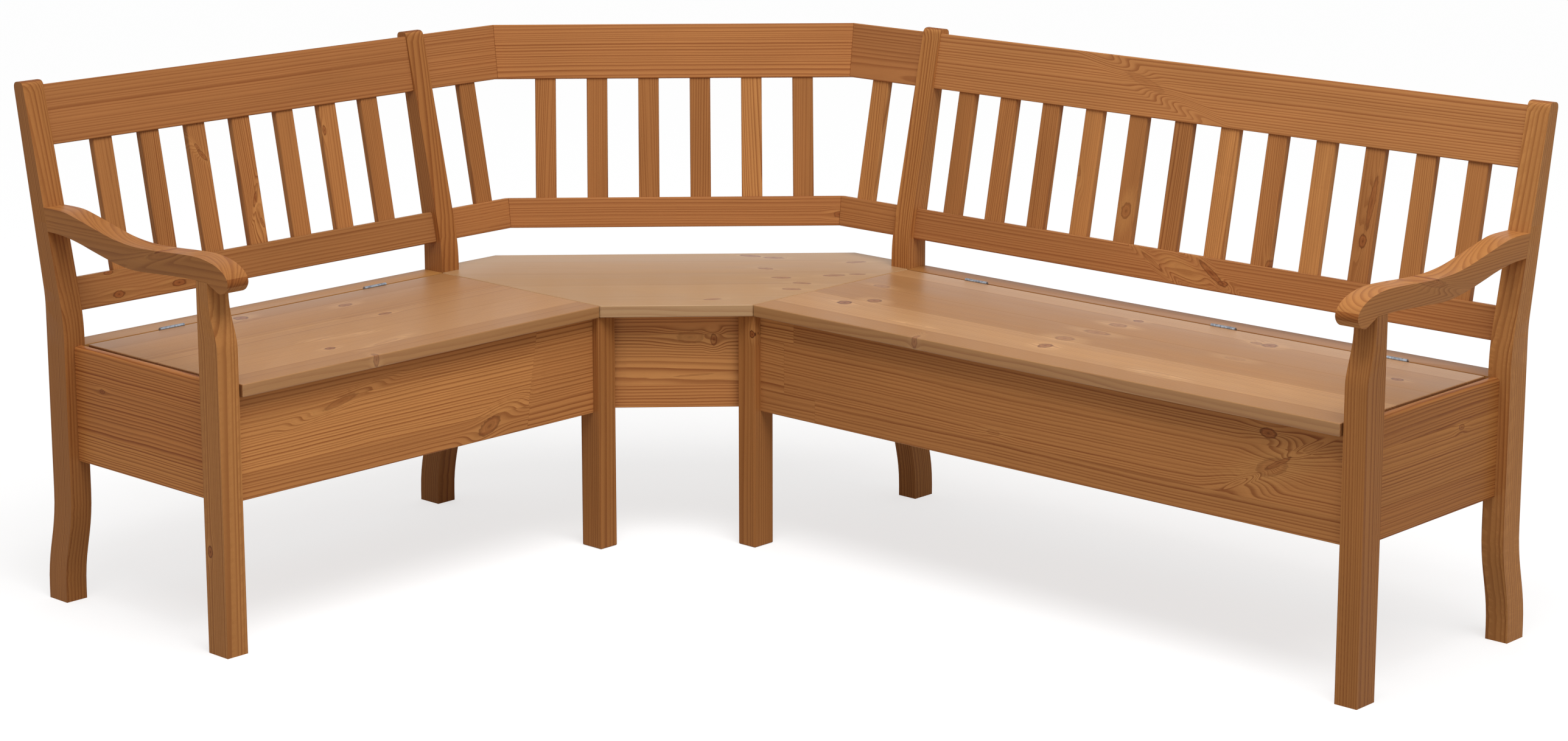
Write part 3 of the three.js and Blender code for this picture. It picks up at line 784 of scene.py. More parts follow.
@dataclass
class WoodShop:
    """Cuts the boards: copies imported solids, eases the edges that a hand can reach, and finishes them."""

    nodes: dict[str, bpy.types.Object]
    grain: Grain
    # Colour factors by board: partly its own tone, partly painted shade and painted light
    tints: dict[str, Triple]
    trees: dict[str, BVHTree] = field(default_factory=dict)
    boxes: dict[str, Box] = field(default_factory=dict)

    def __post_init__(self) -> None:
        """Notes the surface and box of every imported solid."""
        for name, node in self.nodes.items():
            mesh = node.data
            faces = [tuple(polygon.vertices) for polygon in mesh.polygons]
            self.trees[name] = BVHTree.FromPolygons([vertex.co for vertex in mesh.vertices], faces)
            self.boxes[name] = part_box(name)

    def touches(self, point: Vector, own: str) -> bool:
        """Tells whether another solid lies against a point.

        Args:
            point: The point.
            own: Name of the solid that the point belongs to.

        Returns:
            True where another solid is nearer than a joint's clearance.
        """
        margin = Vector((TOUCHING, TOUCHING, TOUCHING))
        for name, (low, high) in self.boxes.items():
            box = zip(low - margin, point, high + margin)
            if name == own or any(not least <= place <= most for least, place, most in box):
                continue
            if self.trees[name].find_nearest(point, TOUCHING)[0] is not None:
                return True
        return False

    def reachable(self, edge: bmesh.types.BMEdge, own: str) -> bool:
        """Tells whether an edge is an outer corner that stands free for most of its length.

        Args:
            edge: The edge.
            own: Name of its solid.

        Returns:
            True where the edge is eased.
        """
        if len(edge.link_faces) != 2 or not edge.is_convex or edge.calc_face_angle(0.0) < SHARP_ANGLE:
            return False
        if edge.calc_length() < SHORTEST_EASED:
            return False
        first, last = (vertex.co for vertex in edge.verts)
        hits = sum(self.touches(first.lerp(last, share), own) for share in EDGE_TESTS)
        return hits < HITS_TO_STAY_SHARP

    def bent(self, name: str, axes: Axes) -> Axes:
        """Returns the axes of a bent board, whose grain follows its middle line.

        Args:
            name: Name of the node.
            axes: Its straight axes.

        Returns:
            The axes with the bend.
        """
        low, high = self.boxes[name]
        half = (high - low) / 2
        length = abs(half.dot(axes.along)) * 2
        beside = axes.through * abs(half.dot(axes.through)) * BEND_TEST_DEPTH
        line = []
        for step in range(BEND_PLACES):
            reach = length * ((step + 0.5) / BEND_PLACES - 0.5)
            point = axes.origin + axes.along * reach + beside
            front = self.trees[name].ray_cast(point + axes.across, -axes.across)[0]
            rear = self.trees[name].ray_cast(point - axes.across, axes.across)[0]
            if front is not None and rear is not None:
                line.append((reach, ((front + rear) / 2 - axes.origin).dot(axes.across)))
        return replace(axes, bend=tuple(line))

    def copy(self, name: str, easing: float, axes: Axes | None = None) -> bpy.types.Mesh:
        """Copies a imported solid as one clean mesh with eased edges.

        Args:
            name: Name of the node.
            easing: Width of the rounded edges, in metres.
            axes: Axes of a bent board, which is cut into short lengths for its grain.

        Returns:
            The new mesh.
        """
        form = bmesh.new()
        form.from_mesh(self.nodes[name].data)
        bmesh.ops.remove_doubles(form, verts=form.verts, dist=WELD)
        bmesh.ops.dissolve_limit(form, angle_limit=FLAT_ANGLE, verts=form.verts, edges=form.edges)
        for reach, _ in axes.bend if axes else ():
            cut = axes.origin + axes.along * reach
            parts = form.verts[:] + form.edges[:] + form.faces[:]
            bmesh.ops.bisect_plane(form, geom=parts, plane_co=cut, plane_no=axes.along)
        form.normal_update()
        edges = [edge for edge in form.edges if self.reachable(edge, name)]
        mesh = self.eased(form, edges, easing, name)
        form.free()
        return mesh

    @staticmethod
    def eased(
        form: bmesh.types.BMesh, edges: list[bmesh.types.BMEdge], easing: float, label: str,
    ) -> bpy.types.Mesh:
        """Rounds the given edges and returns the mesh.

        Args:
            form: The form, which is changed.
            edges: The edges to round.
            easing: Width of the rounding, in metres.
            label: Name of the new mesh.

        Returns:
            The new mesh, smooth where its facets nearly agree.
        """
        if edges and easing > 0:
            bmesh.ops.bevel(
                form, geom=edges, offset=easing, offset_type="OFFSET", segments=EASING_STEPS, profile=0.5,
                affect="EDGES", clamp_overlap=True, miter_outer="SHARP",
            )
        bmesh.ops.remove_doubles(form, verts=form.verts, dist=WELD)
        for face in form.faces:
            face.smooth = True
        mesh = bpy.data.meshes.new(label)
        form.to_mesh(mesh)
        mesh.set_sharp_from_angle(angle=SMOOTH_ANGLE)
        return mesh

    @staticmethod
    def mark(mesh: bpy.types.Mesh, axes: Axes, seed: float) -> None:
        """Writes a board's own coordinates and its seed on its mesh.

        Args:
            mesh: The mesh.
            axes: Directions of the board.
            seed: Number that sets this board's wood apart.
        """
        places = [part for vertex in mesh.vertices for part in axes.place(vertex.co)]
        mesh.attributes.new(BOARD, "FLOAT_VECTOR", "POINT")
        mesh.attributes[BOARD].data.foreach_set("vector", places)
        mesh.attributes.new(SEED, "FLOAT", "POINT")
        mesh.attributes[SEED].data.foreach_set("value", [seed] * len(mesh.vertices))

    def dress(
        self, mesh: bpy.types.Mesh, label: str, axes: Axes, finish: PineFinish, knots: tuple[Knot, ...],
    ) -> bpy.types.Object:
        """Makes a board of a mesh: its coordinates, its face and end grain, and its object.

        Args:
            mesh: The finished mesh.
            label: Name of the piece.
            axes: Directions of the board.
            finish: Its finish.
            knots: Knots in it.

        Returns:
            The piece.
        """
        # Painted shade and painted light: some boards' colours are darkened or lightened as their faces are
        # lit, on top of their own tone
        finish = finish.tinted(self.tints.get(label, (1.0, 1.0, 1.0)))
        self.mark(mesh, axes, number_for(label, BOARD_NUMBERS))
        spots = [(tuple(axes.place(Vector(knot.at))), knot) for knot in knots]
        mesh.materials.clear()
        mesh.materials.append(self.finish(finish, label if knots else "", spots))
        mesh.materials.append(self.finish(finish.end_grain(), "", []))
        for polygon in mesh.polygons:
            polygon.material_index = int(abs(polygon.normal.dot(axes.along)) > END_GRAIN_FACING)
        piece = add_object(label, mesh)
        LOG.info("%s: %d faces, %d knots", label, len(mesh.polygons), len(knots))
        return piece

    def finish(
        self, finish: PineFinish, label: str, spots: list[tuple[Triple, Knot]],
    ) -> bpy.types.Material:
        """Returns the material of a finish, made once where no knots set it apart.

        Args:
            finish: The finish.
            label: Name of the board that has knots, or an empty name.
            spots: Its knots.

        Returns:
            The material.
        """
        key = label or f"{finish.slot.value}_{number_for(repr(finish), FINISH_NUMBERS)}"
        return bpy.data.materials.get(key) or finish.material(key, self.grain, spots)

    def board(
        self, name: str, axes: Axes, finish: PineFinish, easing: float,
        knots: tuple[Knot, ...], body: str = "frame",
    ) -> None:
        """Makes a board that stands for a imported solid.

        Args:
            name: Name of the node that the board stands for.
            axes: Directions of the board.
            finish: Its finish.
            easing: Width of its rounded edges.
            knots: Knots in it.
            body: The body that it rides on.
        """
        piece = self.dress(self.copy(name, easing, axes), f"{name}_board", axes, finish, knots)
        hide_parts(name)
        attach(piece, body)


class RepeatShop:
    """Makes what repeats with Geometry Nodes: slats and screws."""

    def __init__(self) -> None:
        """Builds the two trees."""
        self.slats = self._slat_tree()
        self.screws = self._screw_tree()

    @staticmethod
    def _slat_tree() -> bpy.types.NodeTree:
        """Builds a row of slats with rounded edges, each with its own wood.

        Returns:
            The tree.
        """
        recipe = Recipe("slat_row", "GeometryNodeTree")
        recipe.take("Int", "Count", "Seed")
        recipe.take("Float", "Pitch", "Slat Width", "Slat Thickness", "Slat Length", "Easing")
        recipe.take("Material", "Finish")
        least_number, most_number = 1.0, 300.0
        g, given = recipe.graph, recipe.given
        outline = g.result("GeometryNodeCurvePrimitiveQuadrilateral", {
            "Width": given("Slat Width"), "Height": given("Slat Thickness"),
        })
        rounded = g.result("GeometryNodeFilletCurve", {
            "Curve": outline, "Count": EASING_STEPS, "Radius": given("Easing"),
        }, mode="POLY")
        run = g.result("GeometryNodeCurvePrimitiveLine", {"End": g.combine(0.0, 0.0, given("Slat Length"))})
        slat = g.result("GeometryNodeCurveToMesh", {
            "Curve": run, "Profile Curve": rounded, "Fill Caps": True,
        })
        x, y, z = g.split(g.result("GeometryNodeInputPosition", {}))
        marked = g.store(slat, BOARD, g.combine(z, x, y), "FLOAT_VECTOR")
        placed = g.row(marked, given("Count"), given("Pitch"))
        index = g.result("GeometryNodeInputIndex", {})
        chance = g.call("FunctionNodeRandomValue", {
            2: least_number, 3: most_number, "ID": index, "Seed": given("Seed"),
        })
        seeded = g.store(placed, SEED, chance.outputs[1], "FLOAT", "INSTANCE")
        numbered = g.store(seeded, SLAT_NUMBER, index, "FLOAT", "INSTANCE")
        solid = g.result("GeometryNodeRealizeInstances", {"Geometry": numbered})
        stride = g.combine(g.times(g.stored(SLAT_NUMBER, "FLOAT"), SLAT_STRIDE), 0.0, 0.0)
        apart = g.vector("ADD", g.stored(BOARD, "FLOAT_VECTOR"), stride)
        spread = g.store(solid, BOARD, apart, "FLOAT_VECTOR")
        finished = g.result("GeometryNodeSetMaterial", {"Geometry": spread, "Material": given("Finish")})
        recipe.give(Geometry__Geometry=finished)
        return recipe.tree

    @staticmethod
    def _screw_tree() -> bpy.types.NodeTree:
        """Builds a row of flat screw heads with a cross recess.

        Returns:
            The tree.
        """
        recipe = Recipe("screw_row", "GeometryNodeTree")
        recipe.take("Int", "Count")
        recipe.take("Float", "Pitch", "Head Radius", "Head Height", "Recess")
        recipe.take("Material", "Finish")
        sides, slot_width, lift = 20, 0.0007, 0.55
        g, given = recipe.graph, recipe.given
        height, recess = given("Head Height"), given("Recess")
        head = g.result("GeometryNodeMeshCylinder", {
            "Vertices": sides, "Radius": given("Head Radius"), "Depth": height,
        })
        cross = g.add("GeometryNodeJoinGeometry")
        for size in (g.combine(recess, slot_width, height), g.combine(slot_width, recess, height)):
            g.feed(cross.inputs[0], g.result("GeometryNodeMeshCube", {"Size": size}))
        raised = g.result("GeometryNodeTransform", {
            "Geometry": cross.outputs[0], "Translation": g.combine(0.0, 0.0, g.times(height, lift)),
        })
        cutaway = g.result("GeometryNodeMeshBoolean", {
            "Mesh 1": head, "Mesh 2": raised, "Self Intersection": True,
        }, operation="DIFFERENCE", solver="EXACT")
        placed = g.row(cutaway, given("Count"), given("Pitch"))
        solid = g.result("GeometryNodeRealizeInstances", {"Geometry": placed})
        finished = g.result("GeometryNodeSetMaterial", {"Geometry": solid, "Material": given("Finish")})
        recipe.give(Geometry__Geometry=finished)
        return recipe.tree

    @staticmethod
    def run(tree: bpy.types.NodeTree, label: str, values: dict[str, object]) -> bpy.types.Mesh:
        """Runs a tree once and returns its result as a plain mesh.

        Args:
            tree: The tree.
            label: Name of the mesh.
            values: Its inputs by name.

        Returns:
            The mesh.
        """
        carrier = add_object(label, bpy.data.meshes.new(label + "_carrier"))
        modifier = carrier.modifiers.new("repeat", "NODES")
        modifier.node_group = tree
        for item in tree.interface.items_tree:
            if item.in_out == "INPUT":
                modifier[item.identifier] = values[item.name]
        evaluated = carrier.evaluated_get(bpy.context.evaluated_depsgraph_get())
        mesh = bpy.data.meshes.new_from_object(evaluated)
        carrier.modifiers.clear()
        bpy.data.objects.remove(carrier)
        mesh.name = label
        mesh.materials.clear()
        mesh.materials.append(values["Finish"])
        mesh.polygons.foreach_set("material_index", [0] * len(mesh.polygons))
        return mesh


@dataclass(frozen=True)
class Backrest:
    """The raked plane of the backrest and what stands in it, in metres."""

    rake: float = math.radians(11.15)
    front: float = 0.024
    height: float = 0.574
    slat_width: float = 0.040
    slat_thickness: float = 0.014
    slat_setback: float = 0.004
    slat_low: float = -0.012
    slat_high: float = 0.243
    rail_thickness: float = 0.022
    lower_rail: tuple[float, float] = (-0.058, 0.0)
    top_rail: tuple[float, float] = (0.231, 0.336)
    easing: float = 0.0022

    def plane(self, corner: Vector, turn: float, setout: float = 0.0) -> Matrix:
        """Returns the frame of a run of the backrest: x along it, y back through it, z up the rake.

        Args:
            corner: Point on the floor where the rear planes of the two benches meet.
            turn: Angle of the run about the upright.
            setout: Distance of the run from the corner.

        Returns:
            The matrix.
        """
        place = Matrix.Translation(corner) @ Matrix.Rotation(turn, 4, "Z")
        place = place @ Matrix.Translation((0, -setout, 0))
        return place @ self.raised

    @property
    def raised(self) -> Matrix:
        """Returns the place of the raked plane above the rear plane of its run."""
        return Matrix.Translation((0, -self.front, self.height)) @ Matrix.Rotation(-self.rake, 4, "X")

    def slats(
        self, shops: "Shops", label: str, plane: Matrix, first: float, pitch: float, count: int,
        replaced: list[str], knots: tuple[Knot, ...],
    ) -> None:
        """Makes a row of slats.

        Args:
            shops: The shops.
            label: Name of the piece.
            plane: Frame of the run.
            first: Place of the first slat's middle along the run.
            pitch: Distance from slat to slat.
            count: How many there are.
            replaced: Nodes that the row stands for.
            knots: Knots, each placed in the row's own coordinates.
        """
        spots = [(knot.at, knot) for knot in knots]
        material = shops.wood.finish(SLAT_FINISH, label if knots else "", spots)
        mesh = shops.repeat.run(shops.repeat.slats, label, {
            "Count": count, "Pitch": pitch, "Slat Width": self.slat_width,
            "Slat Thickness": self.slat_thickness, "Slat Length": self.slat_high - self.slat_low,
            "Easing": self.easing, "Seed": number_for(label, ROW_NUMBERS), "Finish": material,
        })
        middle = self.slat_setback + self.slat_thickness / 2
        mesh.transform(plane @ Matrix.Translation((first, middle, self.slat_low)))
        for polygon in mesh.polygons:
            polygon.use_smooth = True
        mesh.set_sharp_from_angle(angle=SMOOTH_ANGLE)
        piece = add_object(label, mesh)
        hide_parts(*replaced)
        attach(piece, "frame")
        LOG.info("%s: %d slats, %d faces", label, count, len(mesh.polygons))


@dataclass
class Shops:
    """The shops that every sub-assembly uses."""

    wood: WoodShop
    repeat: RepeatShop
    zinc: bpy.types.Material
    screw_zinc: bpy.types.Material


FRAME_FINISH = PineFinish(
    Slot.FRAME, early=(178, 118, 65), late=(130, 72, 35), ring_width=0.0038, wander=0.005, contrast=0.84,
    variety=0.2, run_out=0.012,
)
RAIL_FINISH = replace(
    FRAME_FINISH, early=(187, 126, 75), late=(138, 77, 40), ring_width=0.0046, wander=0.010,
)
SLAT_FINISH = replace(
    FRAME_FINISH, early=(180, 121, 70), ring_width=0.0034, wander=0.009, mottle=0.46, contrast=0.95,
    variety=0.65, run_out=0.09,
)
ARM_FINISH = replace(
    FRAME_FINISH, early=(176, 116, 63), ring_width=0.0052, wander=0.014, contrast=0.6, variety=0.0,
)
PANEL_FINISH = PineFinish(
    Slot.PANEL, early=(192, 130, 75), late=(134, 73, 37), ring_width=0.0054, wander=0.020, contrast=0.95,
    stave_width=0.094, stave_length=1.6, offset=0.3, stagger=0.4, pith_side=0.11, seam_depth=0.12,
)
LEFT_PANEL_FINISH = replace(PANEL_FINISH, stave_length=1.2, offset=0.768, stagger=0.02, slant=-0.18)
SEAT_FINISH = PineFinish(
    Slot.SEAT, early=(176, 128, 80), late=(142, 88, 50), knot=(142, 78, 48), heart=(80, 36, 22),
    pale=(208, 162, 112), contrast=0.6, mottle=0.19, ring_width=0.0046, wander=0.02, stave_width=0.105,
    pith_side=0.09, seam_depth=0.12, sheen=0.36,
)
STRIP_FINISH = replace(SEAT_FINISH, early=(170, 120, 70), late=(136, 84, 46), sheen=0.2)
CORNER_SEAT_FINISH = replace(
    SEAT_FINISH, early=(184, 144, 100), late=(156, 108, 66), knot=(148, 86, 56), heart=(104, 50, 32),
    pale=(202, 164, 118), contrast=0.5, mottle=0.16, sheen=0.46,
)
HINGE_ZINC = ZincFinish()
SCREW_ZINC = replace(HINGE_ZINC, colour=(222, 226, 230), shadow=(190, 194, 200), gloss=0.28)

# Boards whose grain follows a bend
BENT_BOARDS = ("end_rear_post", "inner_rear_post", "end_front_leg")


@dataclass(frozen=True)
class Screws:
    """The row of screws in one hinge leaf, in metres."""

    count: int = 3
    pitch: float = 0.018
    head_radius: float = 0.0029
    head_height: float = 0.0004
    recess: float = 0.0034
    setback: float = 0.0003
    height: float = 0.4470


@dataclass
class Bench:
    """One straight bench: posts and legs, arm, backrest, storage box, seat and hinges.

    Its corner is the point on the floor where the rear planes of the two benches meet.
    """

    shops: Shops
    corner: Vector
    side: Side
    slat_count: int
    hinge_count: int
    knots: dict[str, tuple[Knot, ...]]
    panel_finish: PineFinish = PANEL_FINISH
    post_easing: float = 0.0028
    arm_easing: float = 0.0038
    rail_easing: float = 0.0024
    panel_easing: float = 0.0016
    seat_easing: float = 0.0020
    hinge_easing: float = 0.00025
    screws: Screws = field(default_factory=Screws)
    back: Backrest = field(default_factory=Backrest)

    @property
    def run(self) -> Vector:
        """Returns the direction along the bench."""
        return Vector((0, 1, 0)) if self.side is Side.LEFT else Vector((1, 0, 0))

    @property
    def forward(self) -> Vector:
        """Returns the direction that a sitter faces."""
        return Vector((1, 0, 0)) if self.side is Side.LEFT else Vector((0, -1, 0))

    def name(self, part: str) -> str:
        """Returns the name of a node of this bench."""
        return f"{self.side.value}_{part}"

    def axes(self, part: str, along: Vector, across: Vector) -> Axes:
        """Returns the axes of a board whose coordinates start at its middle."""
        low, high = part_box(self.name(part))
        return Axes(along, across, (low + high) / 2)

    def build(self) -> None:
        """Builds every piece of the bench."""
        self.build_uprights()
        self.build_backrest()
        self.build_box()
        self.build_seat()
        self.build_hinges()

    def place(
        self, part: str, along: Vector, across: Vector, finish: PineFinish,
        easing: float, body: str = "frame",
    ) -> None:
        """Makes one board of this bench from its node.

        Args:
            part: Name of the node, without the side.
            along: Direction of its grain.
            across: Direction across its width.
            finish: Its finish.
            easing: Width of its rounded edges.
            body: The body that it rides on.
        """
        axes = self.axes(part, along, across)
        if part in BENT_BOARDS:
            axes = self.shops.wood.bent(self.name(part), axes)
        self.shops.wood.board(self.name(part), axes, finish, easing, self.knots.get(part, ()), body=body)

    def build_uprights(self) -> None:
        """Builds the posts, the legs and the arm."""
        for part in (*BENT_BOARDS, "inner_front_leg"):
            self.place(part, UP, self.forward, FRAME_FINISH, self.post_easing)
        self.place("arm", self.forward, UP, ARM_FINISH, self.arm_easing)

    def build_backrest(self) -> None:
        """Builds the two rails and the slats."""
        turn = math.pi / 2 if self.side is Side.LEFT else 0.0
        plane = self.back.plane(self.corner, turn)
        rise = (plane.to_3x3() @ UP).normalized()
        for part in ("lower_rail", "top_rail"):
            self.place(part, self.run, rise, RAIL_FINISH, self.rail_easing)
        names = [self.name(f"slat_{number}") for number in range(1, self.slat_count + 1)]
        places = sorted((plane.inverted() @ (sum(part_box(name), Vector()) / 2)).x for name in names)
        pitch = (places[-1] - places[0]) / (self.slat_count - 1)
        self.back.slats(
            self.shops, self.name("slats"), plane, places[0], pitch, self.slat_count, names,
            self.knots.get("slats", ()),
        )

    def build_box(self) -> None:
        """Builds the panels, the divider and the floor of the storage box."""
        self.place("front_panel", self.run, UP, self.panel_finish, self.panel_easing)
        self.place("rear_panel", self.run, UP, PANEL_FINISH, self.panel_easing)
        self.place("end_panel", self.forward, UP, PANEL_FINISH, self.panel_easing)
        self.place("divider", self.forward, UP, PANEL_FINISH, self.panel_easing)
        self.place("box_floor", self.run, self.forward, PANEL_FINISH, 0.0)

    def build_seat(self) -> None:
        """Builds the fixed strip and the lid."""
        self.place("hinge_strip", self.run, self.forward, STRIP_FINISH, self.seat_easing / 2)
        self.place("lid", self.run, self.forward, SEAT_FINISH, self.seat_easing, self.name("lid"))

    def build_hinges(self) -> None:
        """Builds the hinge leaves and their screws."""
        for number in range(1, self.hinge_count + 1):
            for kind, body, facing in (("fixed", "frame", 1), ("moving", self.name("lid"), -1)):
                name = self.name(f"hinge_{number}_{kind}_leaf")
                leaf = add_object(f"{name}_plated", self.shops.wood.copy(name, self.hinge_easing))
                leaf.data.materials.clear()
                leaf.data.materials.append(self.shops.zinc)
                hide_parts(name)
                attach(leaf, body)
                LOG.info("%s: %d faces", leaf.name, len(leaf.data.polygons))
                self.build_screws(name, body, facing)

    def build_screws(self, leaf: str, body: str, facing: int) -> None:
        """Builds the screws of one leaf.

        Args:
            leaf: Name of the leaf.
            body: Body that it rides on.
            facing: 1 where the screws face forward, -1 where they face back.
        """
        low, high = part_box(leaf)
        middle = (low + high) / 2
        row = self.screws
        mesh = self.shops.repeat.run(self.shops.repeat.screws, f"{leaf}_screws", {
            "Count": row.count, "Pitch": row.pitch, "Head Radius": row.head_radius,
            "Head Height": row.head_height, "Recess": row.recess, "Finish": self.shops.screw_zinc,
        })
        run, out = self.run, self.forward * facing
        basis = Matrix((run, out.cross(run), out)).transposed().to_4x4()
        first = Vector((middle.x, middle.y, row.height)) - run * (row.pitch * (row.count - 1) / 2)
        mesh.transform(Matrix.Translation(first - out * row.setback) @ basis)
        screws = add_object(f"{leaf}_screws", mesh)
        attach(screws, body)
        LOG.info("%s: %d faces", screws.name, len(mesh.polygons))


@dataclass
class CornerUnit:
    """The corner between the benches: mitred rails, slats, seat board and apron.

    Its corner is the point on the floor where the rear planes of the two benches meet.
    """

    shops: Shops
    corner: Vector
    knots: dict[str, tuple[Knot, ...]]
    side: float = 0.634
    cut: float = 0.496
    back_shift: float = 0.018
    clearance: float = 0.0003
    mitre_gap: float = 0.0001
    slat_count: int = 6
    slat_margin: float = 0.073
    wing_slat: float = 0.096
    easing: float = 0.0024
    mitre_easing: float = 0.0006
    seat_easing: float = 0.0020
    apron_easing: float = 0.0016
    back: Backrest = field(default_factory=Backrest)

    @property
    def setout(self) -> float:
        """Returns the distance of the middle facet from the corner."""
        return self.cut / math.sqrt(2) - self.back_shift

    def mitre(self, forward: float) -> float:
        """Returns where a mitre lies along a wing, at a distance in front of the rear plane."""
        return math.sqrt(2) * (self.setout + forward) - forward

    def build(self) -> None:
        """Builds every piece of the corner."""
        self.build_rail("corner_lower_rail", self.back.lower_rail)
        self.build_rail("corner_top_rail", self.back.top_rail)
        self.build_slats()
        self.build_boards()

    def build_rail(self, label: str, rail: tuple[float, float]) -> None:
        """Builds one rail as three runs that meet in mitres.

        Args:
            label: Name of the rail.
            rail: Its lowest and highest edge up the rake.
        """
        low, high, thick = *rail, self.back.rail_thickness
        outline = ((0, 0, low), (0, 0, high), (0, thick, high), (0, thick, low))
        points = [self.back.raised @ Vector(place) for place in outline]
        section = [(-point.y, point.z) for point in points]
        end, gap = self.side - self.clearance, self.mitre_gap
        stations = (
            [Vector((f, -end, z)) for f, z in section],
            [Vector((f, -self.mitre(f), z)) for f, z in section],
            [Vector((self.mitre(f), -f, z)) for f, z in section],
            [Vector((end, -f, z)) for f, z in section],
        )
        runs = (("left_run", math.pi / 2), ("middle_run", math.pi / 4), ("right_run", 0.0))
        for number, (part, turn) in enumerate(runs):
            name = f"{label}_{part}"
            mitred = (number > 0, number < len(runs) - 1)
            along = Vector((math.cos(turn), math.sin(turn), 0))
            inset = along * gap
            start = [point + self.corner + inset * mitred[0] for point in stations[number]]
            stop = [point + self.corner - inset * mitred[1] for point in stations[number + 1]]
            across = Matrix.Rotation(turn, 3, "Z") @ self.back.raised.to_3x3() @ UP
            mesh = self.prism(name, start, stop, mitred)
            corners = start + stop
            axes = Axes(along, across.normalized(), sum(corners, Vector()) / len(corners))
            piece = self.shops.wood.dress(mesh, name, axes, RAIL_FINISH, self.knots.get(name, ()))
            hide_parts("corner_back")
            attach(piece, "frame")

    def prism(
        self, label: str, start: list[Vector], stop: list[Vector], mitred: tuple[bool, bool],
    ) -> bpy.types.Mesh:
        """Builds one run between its two end outlines, with eased edges and crisper mitres.

        Args:
            label: Name of the mesh.
            start: The four corners at its start.
            stop: The four corners at its end.
            mitred: Whether its start and its end meet another run.

        Returns:
            The mesh.
        """
        form = bmesh.new()
        first = [form.verts.new(point) for point in start]
        last = [form.verts.new(point) for point in stop]
        form.faces.new(first)
        form.faces.new(list(reversed(last)))
        for here, after in ((0, 1), (1, 2), (2, 3), (3, 0)):
            form.faces.new((first[here], last[here], last[after], first[after]))
        bmesh.ops.recalc_face_normals(form, faces=form.faces)
        outlines = [outline for outline, joined in ((first, mitred[0]), (last, mitred[1])) if joined]
        ends = [
            edge for edge in form.edges
            if any(edge.verts[0] in outline and edge.verts[1] in outline for outline in outlines)
        ]
        bmesh.ops.bevel(
            form, geom=ends, offset=self.mitre_easing, offset_type="OFFSET", segments=1, profile=0.5,
            affect="EDGES", clamp_overlap=True,
        )
        form.normal_update()
        long_edges = [
            edge for edge in form.edges
            if edge.calc_length() > SHORTEST_RAIL_EDGE and edge.calc_face_angle(0.0) > SQUARE_ANGLE
        ]
        mesh = WoodShop.eased(form, long_edges, self.easing, label)
        form.free()
        return mesh

    def build_slats(self) -> None:
        """Builds the slats of the middle facet and of the two wings."""
        facet = math.sqrt(2) * (self.mitre(self.back.front) - self.back.front)
        last = facet / 2 - self.slat_margin
        pitch = 2 * last / (self.slat_count - 1)
        wing = self.side - self.wing_slat
        rows = (
            ("corner_slats", math.pi / 4, self.setout, -last, pitch, self.slat_count),
            ("corner_left_slat", math.pi / 2, 0.0, -wing, pitch, 1),
            ("corner_right_slat", 0.0, 0.0, wing, pitch, 1),
        )
        for label, turn, setout, first, step, count in rows:
            plane = self.back.plane(self.corner, turn, setout)
            knots = self.knots.get(label, ())
            self.back.slats(self.shops, label, plane, first, step, count, ["corner_back"], knots)

    def build_boards(self) -> None:
        """Builds the seat board and the apron, whose grain runs with the front edge."""
        slant = Vector((1, 1, 0)).normalized()
        out = Vector((1, -1, 0)).normalized()
        for name, across, finish, easing in (
            ("corner_seat", out, CORNER_SEAT_FINISH, self.seat_easing),
            ("corner_apron", UP, PANEL_FINISH, self.apron_easing),
        ):
            low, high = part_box(name)
            axes = Axes(slant, across, (low + high) / 2)
            self.shops.wood.board(name, axes, finish, easing, self.knots.get(name, ()))


